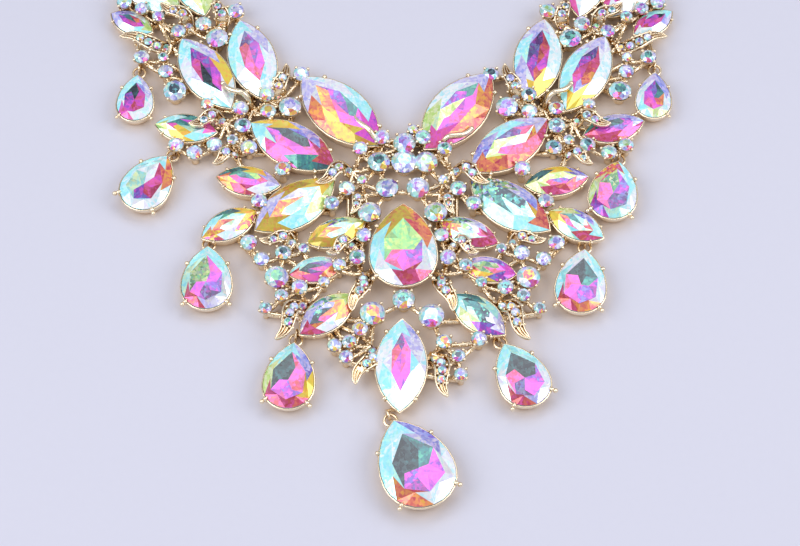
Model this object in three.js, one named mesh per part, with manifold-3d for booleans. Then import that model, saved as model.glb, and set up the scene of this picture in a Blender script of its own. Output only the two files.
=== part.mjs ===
// A crystal bib necklace lying on its back, in millimetres, with +Z up and the neckline towards +Y.
// Faceted stones sit in cups of one gold casting. Nine pear drops hang from it on jump rings,
// and two chains and a clasp close the loop round the neck.
import * as THREE from "three";
import { ConvexGeometry } from "three/addons/geometries/ConvexGeometry.js";
import { mergeVertices } from "three/addons/utils/BufferGeometryUtils.js";
import Module from "manifold-3d";

const wasm = await Module();
wasm.setup();

// Fits
const GAP = 0.42; // between a stone and its cup, and round every free piece
const CUP_WALL = 0.7; // wall of a cup outside its stone's girdle
const CUP_FLOOR = 1.9; // back of a cup
const CUP_BACK_SHARE = 0.8; // size of a cup's back against its rim
const RIM_DROP = 0.3; // of a cup's rim under its stone's girdle

// The cut of a main stone, as shares of its width
const CROWN_SHARE = 0.145;
const PAVILION_SHARE = 0.2;
const TABLE_SHARE = 0.56;
const KEEL_SHARE = 0.3;
const GIRDLE_THICKNESS = 0.3;
const NAVETTE_SIDES = 10; // corners of a pointed oval's outline
const PEAR_ROUND_STEPS = 5; // steps round a pear's round end
const PEAR_FLANK_STEPS = 3; // steps along each side to its point

// Small round stones in their settings
const ROUND_SIDES = 8;
const ROUND_GIRDLE_HEIGHT = 5.4; // over the table, of one that stands in the open
const RAISED_GIRDLE_HEIGHT = 6.9; // of one that overlaps a main stone
const ROUND_CROWN_SHARE = 0.2; // of the diameter
const ROUND_TABLE_SHARE = 0.62; // of the diameter
const ROUND_FOOT_SHARE = 0.6; // of the diameter
const ROUND_FOOT_HEIGHT = 0.3; // the foot of a setting over the table

// Bars that join the settings at the back
const BAR_WIDTH = 1.8;
const BAR_HEIGHT = 1.5;
const BAR_CLEAR = 0.2; // underside of a bar over the table
const TIE_VOLUME = 0.05; // that two touching settings share at least, in cubic mm
const LEAN_SHARES = [0.15, 0.3, 0.45, 0.6, 0.75, 0.9];
const SPINE_SHARE = 0.3; // of a stone's length, that a bar may reach to each side of its middle
const SPINE_PLACES = [0, 0.25, 0.5, 0.75, 1];

// Leaves set with fine stones
const LEAF_FOOT_HEIGHT = 1.2;
const LEAF_HEIGHT = 5.6; // middle of a leaf over the table
const RAISED_LEAF_HEIGHT = 7.4; // of one that lies over a main stone
const LEAF_THICKNESS = 1.5;
const LEAF_SECTIONS = [
  // along the leaf, its width and its height, each as a share
  { along: 0, width: 0.4, height: 0 },
  { along: 0.45, width: 1, height: 1 },
  { along: 1, width: 0.16, height: 0.98 },
];

// Jump rings and the eyes that they pass through
const RING_RADIUS = 1.7; // to the middle of its wire
const RING_WIRE = 0.8;
const EYE_RADIUS = 1.32; // to the middle of its wire
const EYE_WIRE = 0.7;
const EYE_THICKNESS = 0.9;
const TIP_TO_EYE = 0.75; // from a drop's point out to the middle of its eye
const RING_SIDES = 10;
const EYE_SIDES = 6;
const ROOM_SIDES = 6;
const WIRE_SIDES = 5;
const LINK_STEPS = 8;
const BEND_STEPS = 4; // of a half circle at an oval's end

// Chain and clasp
const LINK_COUNT = 8; // in each of the two chains
const LINK_WIRE = 1.4;
const LINK_WIDTH = 6.2;
const LINK_FUSE = 0.35; // how far neighbouring links of one chain sink into each other
const END_EYE = { x: 61, y: 81.6 }; // at the end of an arm
const END_EYE_RADIUS = 2.3;
const END_EYE_WIRE = 1.2;
const CHAIN_CLEAR = 0.2; // under the clasp
const CLASP_LENGTH = 13;
const CLASP_WIDTH = 7;
const CLASP_WIRE = 1.6;

// The two arms lie a little towards -X, by this share of their height up the necklace
const ARM_LEAN = 0.06;

// Main stones, on one side. turn is from +X to the long axis, in degrees.
const ARM_STONES = [
  { name: "neckline_navette", x: 16.3, y: 17, length: 30.5, width: 15.2, turn: 49.5 },
  { name: "shoulder_navette", x: 29.9, y: 6.4, length: 27, width: 13, turn: 34.5 },
  { name: "arm_inner_navette", x: 40, y: 34.2, length: 27, width: 13, turn: 77.5 },
  { name: "arm_outer_navette", x: 53, y: 29.7, length: 27, width: 12.6, turn: 61 },
  { name: "wing_navette", x: 59.2, y: 12.3, length: 17.2, width: 8.6, turn: 12 },
];
const CENTRE_STONES = [
  { name: "upper_fan_navette", x: 42.2, y: -4.6, length: 17.5, width: 8.8, turn: 9 },
  { name: "outer_fan_navette", x: 47.1, y: -18.2, length: 16.6, width: 8.6, turn: -29.5 },
  { name: "middle_fan_navette", x: 29.3, y: -12.7, length: 26, width: 12.8, turn: -36 },
  { name: "inner_fan_navette", x: 18, y: -20.6, length: 17, width: 8.2, turn: -23.5 },
  { name: "lower_fan_navette", x: 23.2, y: -31.9, length: 15, width: 7.4, turn: -12 },
  { name: "skirt_navette", x: 20.3, y: -45.7, length: 18.2, width: 9.3, turn: -40.5 },
];
// Stones of the arms' upper ends, which are fused to the casting
const FUSED_STONES = [
  { x: 56.1, y: 61.8, length: 27, width: 12.6, turn: 76.5 },
  { x: 68.9, y: 58.4, length: 25, width: 12, turn: 47 },
  { x: 73.7, y: 47.2, length: 14.5, width: 7, turn: 31 },
];
// Main stones on the middle line. A pear's turn is the way that its point looks.
const MIDDLE_STONES = [
  { name: "centre_pear", x: 0.2, y: -25.4, length: 25, width: 18, turn: 90, pear: true },
  { name: "keel_navette", x: -0.4, y: -61.2, length: 27, width: 13.4, turn: 88.5 },
];

// Drops as they lie. tail is the reach of the lug that carries each, from the middle of its eye.
const DROPS = [
  { name: "left_arm_drop", x: -74.3, y: 22, length: 14.6, width: 10, turn: 88, tail: 2.4 },
  { name: "right_arm_drop", x: 70, y: 22.9, length: 14.6, width: 9.6, turn: 85, tail: 2.4 },
  { name: "left_wing_drop", x: -69.3, y: -5.2, length: 18.4, width: 13.2, turn: 60, tail: 2.4 },
  { name: "right_wing_drop", x: 57.7, y: -7.8, length: 18, width: 13, turn: 80, tail: 3 },
  { name: "left_fan_drop", x: -52.6, y: -35, length: 18.8, width: 13.4, turn: 90, tail: 2.4 },
  { name: "right_fan_drop", x: 48, y: -36, length: 19, width: 13.4, turn: 83, tail: 2.6 },
  { name: "left_skirt_drop", x: -29.8, y: -64.2, length: 19.2, width: 13.4, turn: 84, tail: 2.6 },
  { name: "right_skirt_drop", x: 31.1, y: -63.8, length: 19.2, width: 13.4, turn: 115, tail: 3.2 },
  { name: "main_drop", x: 2.9, y: -89.8, length: 25.8, width: 19.2, turn: 113.5, tail: 3 },
];

// Round stones over 4 mm: centre and diameter, and whether the stone overlaps a main stone
const ARM_ROUNDS = [
  { x: 44.2, y: 50.3, across: 4.7 },
  { x: 49.7, y: 41.2, across: 6.2 },
  { x: 75.6, y: 53.4, across: 4.2 },
  { x: 71, y: 35, across: 4.4 },
  { x: 64.4, y: 30.2, across: 4.2 },
  { x: 62, y: 23.8, across: 6.3 },
  { x: 30.1, y: 18.6, across: 6.2 },
  { x: 43.4, y: 12.6, across: 4.7 },
  { x: 26.5, y: 29.3, across: 4.4 },
  { x: 62, y: 6.4, across: 4.2 },
  { x: 57, y: 3.9, across: 4.4 },
  { x: 63.6, y: 71.6, across: 4.4 },
  { x: 61.2, y: 77.4, across: 6.2 },
];
const CENTRE_ROUNDS = [
  { x: 6.5, y: 0.9, across: 6.2 },
  { x: 4.2, y: -7.3, across: 6.2 },
  { x: 15.2, y: -7.4, across: 4.5 },
  { x: 9, y: -14.9, across: 6.3 },
  { x: 41.6, y: -24.3, across: 4.5 },
  { x: 32.2, y: -27.4, across: 4.4 },
  { x: 38, y: -29.3, across: 4.2 },
  { x: 33.8, y: -34.9, across: 6.4 },
];
const MIDDLE_ROUNDS = [
  { x: 0.5, y: 0.9, across: 7.2 },
  { x: 0.6, y: 6.9, across: 6.3 },
  { x: 0.3, y: -41.6, across: 6.1 },
  { x: -8, y: -45.8, across: 6.9 },
  { x: 7.7, y: -46.6, across: 6.9 },
  { x: -11.3, y: -50.4, across: 4.2 },
  { x: 11, y: -54.2, across: 4.2 },
  { x: 20.3, y: -53.4, across: 4.2 },
];

// Leaves: foot, point, width, and how far the middle bows to the left of the line between them
const ARM_LEAVES = [
  { foot: [48.2, 14.6], point: [58, 12.2], width: 4, bow: 1.2, raised: true },
  { foot: [62.6, 40.3], point: [76.8, 41.8], width: 4.2, bow: -1.5 },
  { foot: [32.8, 22], point: [30.6, 32.4], width: 4.2, bow: -0.8 },
  { foot: [48.6, 46], point: [49.4, 55], width: 4, bow: 0.8 },
  { foot: [57.4, 45.4], point: [65, 51.8], width: 3.8, bow: 1.2, raised: true },
  { foot: [45.4, 4.4], point: [51.8, -0.6], width: 3.4, bow: 0.8, raised: true },
];
const CENTRE_LEAVES = [
  { foot: [13.6, -1], point: [23.4, -6.6], width: 4, bow: 1.4, raised: true },
  { foot: [10.3, -8.3], point: [14, -15.2], width: 2.8, bow: 0.8 },
  { foot: [12.8, -24.4], point: [20.2, -28.2], width: 3.2, bow: 1.4, raised: true },
  { foot: [11, -32.8], point: [13.4, -44.9], width: 4.6, bow: -1.2 },
  { foot: [29.2, -23.6], point: [38.6, -23.2], width: 3.6, bow: 1.2 },
  { foot: [25.4, -42], point: [33.6, -54.2], width: 4.6, bow: 1.6, raised: true },
];
const MIDDLE_LEAVES = [
  { foot: [-8.4, -54.6], point: [-12.4, -66.6], width: 4.4, bow: 1.6 },
  { foot: [7.6, -57], point: [11.8, -70.2], width: 4.4, bow: 1.4 },
];

const crystal = new THREE.MeshStandardMaterial({ color: 0xd9a8e8, roughness: 0.08, metalness: 0.35 });
const gold = new THREE.MeshStandardMaterial({ color: 0xe0c282, roughness: 0.25, metalness: 1 });

const rad = THREE.MathUtils.degToRad;

// A closed geometry as a solid for joining and cutting
function solidOf(geometry) {
  const bare = geometry.clone();
  bare.deleteAttribute("normal");
  bare.deleteAttribute("uv");
  const merged = mergeVertices(bare, 1e-4);
  return new wasm.Manifold(
    new wasm.Mesh({
      numProp: 3,
      vertProperties: new Float32Array(merged.attributes.position.array),
      triVerts: new Uint32Array(merged.index.array),
    }),
  );
}

function geometryOf(solid) {
  const mesh = solid.getMesh();
  const positions = new Float32Array(mesh.numVert * 3);
  for (let i = 0; i < mesh.numVert; i++)
    positions.set(mesh.vertProperties.subarray(i * mesh.numProp, i * mesh.numProp + 3), i * 3);
  const geometry = new THREE.BufferGeometry();
  geometry.setAttribute("position", new THREE.BufferAttribute(positions, 3));
  geometry.setIndex(new THREE.BufferAttribute(new Uint32Array(mesh.triVerts), 1));
  geometry.computeVertexNormals();
  return geometry;
}

const join = (solids) => solids.reduce((whole, next) => whole.add(next));

// Where a stone lies, as a matrix
function placeOf({ x, y, turn = 0 }) {
  return new THREE.Matrix4().makeRotationZ(rad(turn)).setPosition(x, y, 0);
}

// Outlines run round a stone whose long axis is X, with the first corner at its point at +X.
// Two arcs that meet in points
function navetteOutline(length, width) {
  const a = length / 2;
  const b = width / 2;
  const radius = (a * a + b * b) / (2 * b);
  const half = Math.asin(a / radius);
  const steps = NAVETTE_SIDES / 2;
  const upper = Array.from({ length: steps }, (_, i) => {
    const angle = half - (2 * half * i) / steps;
    return [radius * Math.sin(angle), radius * Math.cos(angle) - (radius - b)];
  });
  return [...upper, ...upper.map(([x, y]) => [-x, -y])];
}

// A half circle, and two arcs from its ends to the point
function pearOutline(length, width) {
  const b = width / 2;
  const a = length - b;
  const radius = (a * a + b * b) / (2 * b);
  const half = Math.asin(a / radius);
  const middle = b - length / 2;
  const flank = Array.from({ length: PEAR_FLANK_STEPS }, (_, i) => {
    const angle = half - (half * i) / PEAR_FLANK_STEPS;
    return [middle + radius * Math.sin(angle), radius * Math.cos(angle) - (radius - b)];
  });
  const round = Array.from({ length: PEAR_ROUND_STEPS + 1 }, (_, i) => {
    const angle = Math.PI / 2 + (Math.PI * i) / PEAR_ROUND_STEPS;
    return [middle + b * Math.cos(angle), b * Math.sin(angle)];
  });
  const back = flank.slice(1).reverse().map(([x, y]) => [x, -y]);
  return [...flank, ...round, ...back];
}

const outlineOf = ({ length, width, pear }) => (pear ? pearOutline : navetteOutline)(length, width);

const ringAt = (outline, share, z, every = 1) =>
  outline.filter((_, i) => i % every === 0).map(([x, y]) => new THREE.Vector3(x * share, y * share, z));

// Height of a main stone's girdle over the table, set by its depth and its cup's floor
const girdleHeight = ({ width }) => CUP_FLOOR + GAP + PAVILION_SHARE * width;

// A cut stone: table, crown, girdle and pavilion. grow widens it all round, for a seat.
function stoneGeometry(stone, grow = 0) {
  const { width } = stone;
  const outline = outlineOf({ ...stone, length: stone.length + 2 * grow, width: width + 2 * grow });
  const low = girdleHeight(stone);
  const high = low + GIRDLE_THICKNESS;
  return new ConvexGeometry([
    ...ringAt(outline, TABLE_SHARE, high + CROWN_SHARE * width + grow, 2),
    ...ringAt(outline, 1, high + grow),
    ...ringAt(outline, 1, low - grow / 3),
    ...ringAt(outline, KEEL_SHARE, low - PAVILION_SHARE * width - grow, 2),
  ]);
}

// A cup before its stone is cut out of it, with its back on the table. grow widens and raises it.
function cupGeometry(stone, grow) {
  const rim = GAP + CUP_WALL + grow;
  const outline = outlineOf({ ...stone, length: stone.length + 2 * rim, width: stone.width + 2 * rim });
  const top = girdleHeight(stone) - RIM_DROP;
  return new ConvexGeometry([
    ...ringAt(outline, CUP_BACK_SHARE, 0, 2),
    ...ringAt(outline, 1, top),
    ...ringAt(outline, 1, top + grow),
  ]);
}

// A cup and its stone in one
function filledCupGeometry(stone) {
  const outline = outlineOf(stone);
  const high = girdleHeight(stone) + GIRDLE_THICKNESS;
  return new ConvexGeometry([
    ...ringAt(outline, TABLE_SHARE, high + CROWN_SHARE * stone.width, 2),
    ...ringAt(outline, 1, high),
    ...ringAt(outline, CUP_BACK_SHARE, 0, 2),
  ]);
}

const cup = (stone, grow = 0) => solidOf(cupGeometry(stone, grow).applyMatrix4(placeOf(stone)));
const seat = (stone) => solidOf(stoneGeometry(stone, GAP).applyMatrix4(placeOf(stone)));

// A round stone fused to its tapered setting, whose foot stands under it or leans to another place
function roundSetting({ x, y, across, raised, foot = [x, y] }) {
  const girdle = raised ? RAISED_GIRDLE_HEIGHT : ROUND_GIRDLE_HEIGHT;
  const outline = Array.from({ length: ROUND_SIDES }, (_, i) => {
    const angle = (2 * Math.PI * i) / ROUND_SIDES;
    return [(across / 2) * Math.cos(angle), (across / 2) * Math.sin(angle)];
  });
  const reach = new THREE.Vector3(foot[0] - x, foot[1] - y, 0);
  const geometry = new ConvexGeometry([
    ...ringAt(outline, ROUND_TABLE_SHARE, girdle + ROUND_CROWN_SHARE * across, 2),
    ...ringAt(outline, 1, girdle),
    ...ringAt(outline, ROUND_FOOT_SHARE, ROUND_FOOT_HEIGHT, 2).map((corner) => corner.add(reach)),
  ]);
  return solidOf(geometry.translate(x, y, 0));
}

// A leaf of four-sided sections that stands up from its foot and reaches flat to its point
function leaf({ foot, point, width, bow, raised }) {
  const from = new THREE.Vector2(...foot);
  const along = new THREE.Vector2(...point).sub(from);
  const side = new THREE.Vector2(-along.y, along.x).normalize();
  const top = raised ? RAISED_LEAF_HEIGHT : LEAF_HEIGHT;
  const sections = LEAF_SECTIONS.map((section) => {
    const bend = bow * 4 * section.along * (1 - section.along);
    const at = from.clone().addScaledVector(along, section.along).addScaledVector(side, bend);
    const z = LEAF_FOOT_HEIGHT + (top - LEAF_FOOT_HEIGHT) * section.height;
    const half = (width * section.width) / 2;
    return [
      new THREE.Vector3(at.x + side.x * half, at.y + side.y * half, z),
      new THREE.Vector3(at.x, at.y, z + LEAF_THICKNESS / 2),
      new THREE.Vector3(at.x - side.x * half, at.y - side.y * half, z),
      new THREE.Vector3(at.x, at.y, z - LEAF_THICKNESS / 2),
    ];
  });
  return solidOf(loft(sections));
}

// A closed body through sections with equal numbers of corners
function loft(sections) {
  const corners = sections[0].length;
  const index = [];
  for (let s = 0; s + 1 < sections.length; s++)
    for (let c = 0; c < corners; c++) {
      const a = s * corners + c;
      const b = s * corners + ((c + 1) % corners);
      index.push(a, b, b + corners, a, b + corners, a + corners);
    }
  const last = (sections.length - 1) * corners;
  for (let c = 1; c + 1 < corners; c++) {
    index.push(0, c + 1, c);
    index.push(last, last + c, last + c + 1);
  }
  const geometry = new THREE.BufferGeometry().setFromPoints(sections.flat());
  return geometry.setIndex(index);
}

// A three-sided bar at the back between two places, flat side down
function bar([ax, ay], [bx, by], low = BAR_CLEAR) {
  const along = Math.atan2(by - ay, bx - ax);
  const side = [(-Math.sin(along) * BAR_WIDTH) / 2, (Math.cos(along) * BAR_WIDTH) / 2];
  const section = (x, y) => [
    new THREE.Vector3(x + side[0], y + side[1], low),
    new THREE.Vector3(x, y, low + BAR_HEIGHT),
    new THREE.Vector3(x - side[0], y - side[1], low),
  ];
  return solidOf(loft([section(ax, ay), section(bx, by)]));
}

// The stretch of a setting that a bar may reach: the middle of a long stone's axis, or its foot
function spineOf({ x, y, foot, length = 0, turn = 0 }) {
  if (foot) return [foot, foot];
  const reach = length * SPINE_SHARE;
  const dx = reach * Math.cos(rad(turn));
  const dy = reach * Math.sin(rad(turn));
  return [
    [x - dx, y - dy],
    [x + dx, y + dy],
  ];
}

// The shortest bar between two settings, tried from several places along the first
function shortestBar(one, other) {
  const [[ax, ay], [bx, by]] = spineOf(one);
  const [[cx, cy], [dx, dy]] = spineOf(other);
  let best = { gap: Infinity };
  for (const t of SPINE_PLACES) {
    const from = [ax + (bx - ax) * t, ay + (by - ay) * t];
    const reach = (dx - cx) ** 2 + (dy - cy) ** 2;
    const share = reach ? ((from[0] - cx) * (dx - cx) + (from[1] - cy) * (dy - cy)) / reach : 0;
    const u = Math.min(1, Math.max(0, share));
    const to = [cx + (dx - cx) * u, cy + (dy - cy) * u];
    const gap = Math.hypot(to[0] - from[0], to[1] - from[1]);
    if (gap < best.gap) best = { gap, from, to };
  }
  return best;
}

const meet = (one, other) => one.solid.intersect(other.solid).volume() > TIE_VOLUME;

// A round setting leant towards another one just so far that it meets it
function leant(setting, other, to, rooms) {
  const { x, y } = setting;
  for (const share of LEAN_SHARES) {
    const foot = [x + (to[0] - x) * share, y + (to[1] - y) * share];
    const tried = { ...setting, foot, solid: roundSetting({ ...setting, foot }).subtract(rooms) };
    if (meet(tried, other)) return tried;
  }
  return null;
}

// Ties each group of touching settings to the nearest setting already tied: a round one leans
// its foot there, and any other gets a bar
function tieTogether(settings, rooms) {
  const tied = [];
  const waiting = [...settings];
  const bars = [];
  const tie = (first) => {
    const group = [first];
    for (const setting of group) {
      tied.push(setting);
      const touching = waiting.filter((other) => meet(setting, other));
      group.push(...touching);
      touching.forEach((other) => waiting.splice(waiting.indexOf(other), 1));
    }
  };
  tie(waiting.shift());
  while (waiting.length) {
    let best = { gap: Infinity };
    for (const setting of waiting)
      for (const other of tied) {
        const found = shortestBar(setting, other);
        if (found.gap < best.gap) best = { ...found, setting, other };
      }
    const { setting, other, from, to } = best;
    waiting.splice(waiting.indexOf(setting), 1);
    const moved = setting.across && leant(setting, other, to, rooms);
    if (!moved) bars.push(bar(from, to).subtract(rooms));
    tie(moved || setting);
  }
  return join([...tied.map(({ solid }) => solid), ...bars]);
}

// The same thing on the left side
function mirror(item) {
  if (item.foot) {
    const [foot, point] = [item.foot, item.point].map(([x, y]) => [-x, y]);
    return { ...item, foot, point, bow: -item.bow, side: "left" };
  }
  return { ...item, x: -item.x, turn: 180 - (item.turn ?? 0), side: "left" };
}

const mirrored = (items) => items.flatMap((item) => [{ ...item, side: "right" }, mirror(item)]);

// Things of the arms also lean
function leaning(item) {
  const lean = ([x, y]) => [x - ARM_LEAN * y, y];
  if (item.foot) return { ...item, foot: lean(item.foot), point: lean(item.point) };
  const [x, y] = lean([item.x, item.y]);
  return { ...item, x, y, turn: (item.turn ?? 0) + THREE.MathUtils.radToDeg(Math.atan(ARM_LEAN)) };
}

const bothArms = (items) => mirrored(items).map(leaning);

const mainStones = [...bothArms(ARM_STONES), ...mirrored(CENTRE_STONES)].map((stone) => ({
  ...stone,
  name: `${stone.side}_${stone.name}`,
}));
mainStones.push(...MIDDLE_STONES);
const fusedStones = bothArms(FUSED_STONES);
const rounds = [...bothArms(ARM_ROUNDS), ...mirrored(CENTRE_ROUNDS), ...MIDDLE_ROUNDS];
const leaves = [...bothArms(ARM_LEAVES), ...mirrored(CENTRE_LEAVES), ...MIDDLE_LEAVES];
const drops = DROPS.map((drop) => ({ ...drop, pear: true }));

// Where a drop's ring and the two eyes that it passes through lie
function hangingOf(drop) {
  const way = [Math.cos(rad(drop.turn)), Math.sin(rad(drop.turn))];
  const from = (reach) => [drop.x + way[0] * reach, drop.y + way[1] * reach];
  const tip = drop.length / 2 + TIP_TO_EYE;
  return {
    dropEye: from(tip),
    ring: from(tip + RING_RADIUS),
    castEye: from(tip + 2 * RING_RADIUS),
    tailEnd: from(tip + 2 * RING_RADIUS + drop.tail),
  };
}

const EYE_LEVEL = EYE_RADIUS + EYE_WIRE / 2;

// An upright eye in the line of its drop, a pierced plate with a tail along the table
function eye([x, y], turn, tail) {
  const ring = (radius) =>
    Array.from({ length: EYE_SIDES }, (_, i) => {
      const angle = (2 * Math.PI * (i + 0.5)) / EYE_SIDES;
      return new THREE.Vector2(radius * Math.cos(angle), radius * Math.sin(angle));
    });
  const outer = ring(EYE_RADIUS + EYE_WIRE / 2).slice(0, -1);
  const low = -EYE_LEVEL + BAR_CLEAR;
  const tailEnd = [new THREE.Vector2(tail, low), new THREE.Vector2(tail, low + BAR_HEIGHT)];
  const shape = new THREE.Shape([...outer, ...tailEnd]);
  shape.holes.push(new THREE.Path(ring(EYE_RADIUS - EYE_WIRE / 2)));
  const geometry = new THREE.ExtrudeGeometry(shape, { depth: EYE_THICKNESS, bevelEnabled: false });
  geometry.translate(0, 0, -EYE_THICKNESS / 2).rotateX(Math.PI / 2).rotateZ(rad(turn));
  return solidOf(geometry.translate(x, y, EYE_LEVEL));
}

// The room that a jump ring needs
function ringRoom([x, y]) {
  const radius = (RING_RADIUS + RING_WIRE / 2 + GAP) / Math.cos(Math.PI / ROOM_SIDES);
  const geometry = new THREE.CylinderGeometry(radius, radius, RING_WIRE + 2 * GAP, ROOM_SIDES);
  return solidOf(geometry.rotateX(Math.PI / 2).translate(x, y, EYE_LEVEL));
}

// The room that the eye of a drop needs
function eyeRoom([x, y], turn) {
  const radius = EYE_RADIUS + EYE_WIRE / 2 + GAP;
  const geometry = new THREE.CylinderGeometry(radius, radius, EYE_THICKNESS + 2 * GAP, ROOM_SIDES);
  return solidOf(geometry.rotateZ(rad(turn)).translate(x, y, EYE_LEVEL));
}

function dropSetting(drop) {
  const { dropEye, ring } = hangingOf(drop);
  const tail = drop.length / 2;
  return cup(drop).subtract(seat(drop).add(ringRoom(ring))).add(eye(dropEye, drop.turn + 180, tail));
}

// The loop behind the neck, a half circle from the end eye of one arm to that of the other
const [rightEnd, leftEnd] = bothArms([END_EYE]);
const loopMiddle = (rightEnd.x + leftEnd.x) / 2;
const loopRadius = (rightEnd.x - leftEnd.x) / 2;
const LINK_LEVEL = ((CLASP_WIDTH - CLASP_WIRE) * Math.SQRT1_2 + CLASP_WIRE) / 2 + CHAIN_CLEAR;

// A place on the loop, by its distance along it from the right end. Links there are tilted
// by half a right angle, to one side and the other in turn, as a chain lies.
function onLoop(distance, side) {
  const angle = distance / loopRadius;
  const matrix = new THREE.Matrix4().makeRotationX((side * Math.PI) / 4);
  matrix.premultiply(new THREE.Matrix4().makeRotationZ(angle + Math.PI / 2));
  return matrix.setPosition(
    loopMiddle + loopRadius * Math.cos(angle),
    rightEnd.y + loopRadius * Math.sin(angle),
    LINK_LEVEL,
  );
}

// An oval of wire along X
function oval(length, width, wire) {
  const bend = (width - wire) / 2;
  const straight = (length - wire) / 2 - bend;
  const ends = [-1, 1].flatMap((sign) =>
    Array.from({ length: BEND_STEPS + 1 }, (_, i) => {
      const angle = (sign * Math.PI) / 2 + (Math.PI * i) / BEND_STEPS;
      return new THREE.Vector3(-sign * straight + bend * Math.cos(angle), bend * Math.sin(angle), 0);
    }),
  );
  const curve = new THREE.CatmullRomCurve3(ends, true);
  return new THREE.TubeGeometry(curve, LINK_STEPS, wire / 2, WIRE_SIDES, true);
}

const wireRing = (radius, wire) => new THREE.TorusGeometry(radius, wire / 2, WIRE_SIDES, RING_SIDES);

// Distances along the loop. The links are as long as the half circle asks.
const loopLength = Math.PI * loopRadius;
const CLASP_EYE_REACH = END_EYE_RADIUS + CLASP_LENGTH / 2 - END_EYE_WIRE / 2;
const CLASP_HOLD = CLASP_LENGTH / 2 - CLASP_WIRE - LINK_WIRE / 2 - 3 * GAP;
const linkOverlap = 2 * LINK_WIRE - LINK_FUSE;
const spans = 2 * (LINK_COUNT - 1);
const chainsLength = loopLength - CLASP_EYE_REACH - CLASP_HOLD;
const linkLength = (chainsLength + 2 * LINK_WIRE + spans * linkOverlap) / (spans + 2);
const linkReach = (linkLength - LINK_WIRE) / 2;
const linkPitch = linkLength - linkOverlap;

function chain(start) {
  return join(
    Array.from({ length: LINK_COUNT }, (_, i) =>
      solidOf(
        oval(linkLength, LINK_WIDTH, LINK_WIRE).applyMatrix4(onLoop(start + i * linkPitch, i % 2 ? 1 : -1)),
      ),
    ),
  );
}

const claspEyeAt = 2 * linkReach + (LINK_COUNT - 1) * linkPitch;
const claspAt = claspEyeAt + CLASP_EYE_REACH;
const leftChainAt = claspAt + CLASP_HOLD + linkReach;

function clasp() {
  const body = solidOf(oval(CLASP_LENGTH, CLASP_WIDTH, CLASP_WIRE).applyMatrix4(onLoop(claspAt, 1)));
  return body.add(solidOf(wireRing(END_EYE_RADIUS, END_EYE_WIRE).applyMatrix4(onLoop(claspEyeAt, -1))));
}

// The eye at the end of an arm, with a bar towards the arm's last setting
function armEnd(distance, side, end, last) {
  const ring = solidOf(wireRing(END_EYE_RADIUS, END_EYE_WIRE).applyMatrix4(onLoop(distance, side)));
  const foot = [end.x + (last.x - end.x) / 2, end.y - END_EYE_RADIUS - END_EYE_WIRE];
  const from = [end.x, end.y - END_EYE_RADIUS];
  return { foot, solid: ring.add(bar(from, foot, LINK_LEVEL - BAR_HEIGHT)).add(bar(foot, [last.x, last.y])) };
}

function casting() {
  const hangings = drops.map((drop) => ({ drop, ...hangingOf(drop) }));
  const eyeRooms = hangings.map(({ drop, dropEye }) => eyeRoom(dropEye, drop.turn));
  const dropRooms = drops.flatMap((drop) => [cup(drop, GAP), seat(drop)]);
  const stoneRooms = join([...mainStones.map(seat), ...dropRooms, ...eyeRooms]);
  const rooms = stoneRooms.add(join(hangings.map(({ ring }) => ringRoom(ring))));
  const made = (items, make) => items.map((item) => ({ ...item, solid: make(item).subtract(rooms) }));
  const lugs = hangings.map(({ drop, castEye, tailEnd }) => ({
    foot: tailEnd,
    solid: eye(castEye, drop.turn, drop.tail).subtract(stoneRooms),
  }));
  const [rightLast, leftLast] = bothArms([ARM_ROUNDS.at(-1)]);
  const settings = [
    ...made(mainStones, (stone) => cup(stone)),
    ...made(fusedStones, (stone) => solidOf(filledCupGeometry(stone).applyMatrix4(placeOf(stone)))),
    ...made(rounds, roundSetting),
    ...made(leaves, leaf),
    ...lugs,
    armEnd(0, 1, rightEnd, rightLast),
    armEnd(loopLength, -1, leftEnd, leftLast),
  ];
  return tieTogether(settings, rooms);
}

const necklace = new THREE.Group();

function addNode(name, geometry, material, place) {
  const mesh = new THREE.Mesh(geometry, material);
  mesh.name = name;
  if (place) {
    mesh.position.set(place.x, place.y, place.z ?? 0);
    mesh.rotation.z = rad(place.turn ?? 0);
  }
  necklace.add(mesh);
}

for (const stone of mainStones) addNode(`${stone.name}_stone`, stoneGeometry(stone), crystal, stone);
for (const drop of drops) {
  const [x, y] = hangingOf(drop).ring;
  addNode(`${drop.name}_stone`, stoneGeometry(drop), crystal, drop);
  addNode(`${drop.name}_setting`, geometryOf(dropSetting(drop)), gold);
  addNode(`${drop.name}_jump_ring`, wireRing(RING_RADIUS, RING_WIRE), gold, { x, y, z: EYE_LEVEL });
}
addNode("bib_casting", geometryOf(casting()), gold);
addNode("right_chain", geometryOf(chain(linkReach)), gold);
addNode("left_chain", geometryOf(chain(leftChainAt)), gold);
addNode("clasp", geometryOf(clasp()), gold);

// The origin is on the table, at the middle of the centre stone's setting
const [centreStone] = MIDDLE_STONES;
necklace.position.set(-centreStone.x, -centreStone.y, 0);

const part = new THREE.Group();
part.add(necklace);

export default part;
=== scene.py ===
"""A crystal bib necklace: foil-backed stones with a rainbow coating in a cast, gold-plated setting."""

import math
import random
from collections import namedtuple

import bpy
from mathutils import Matrix, Vector


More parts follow.
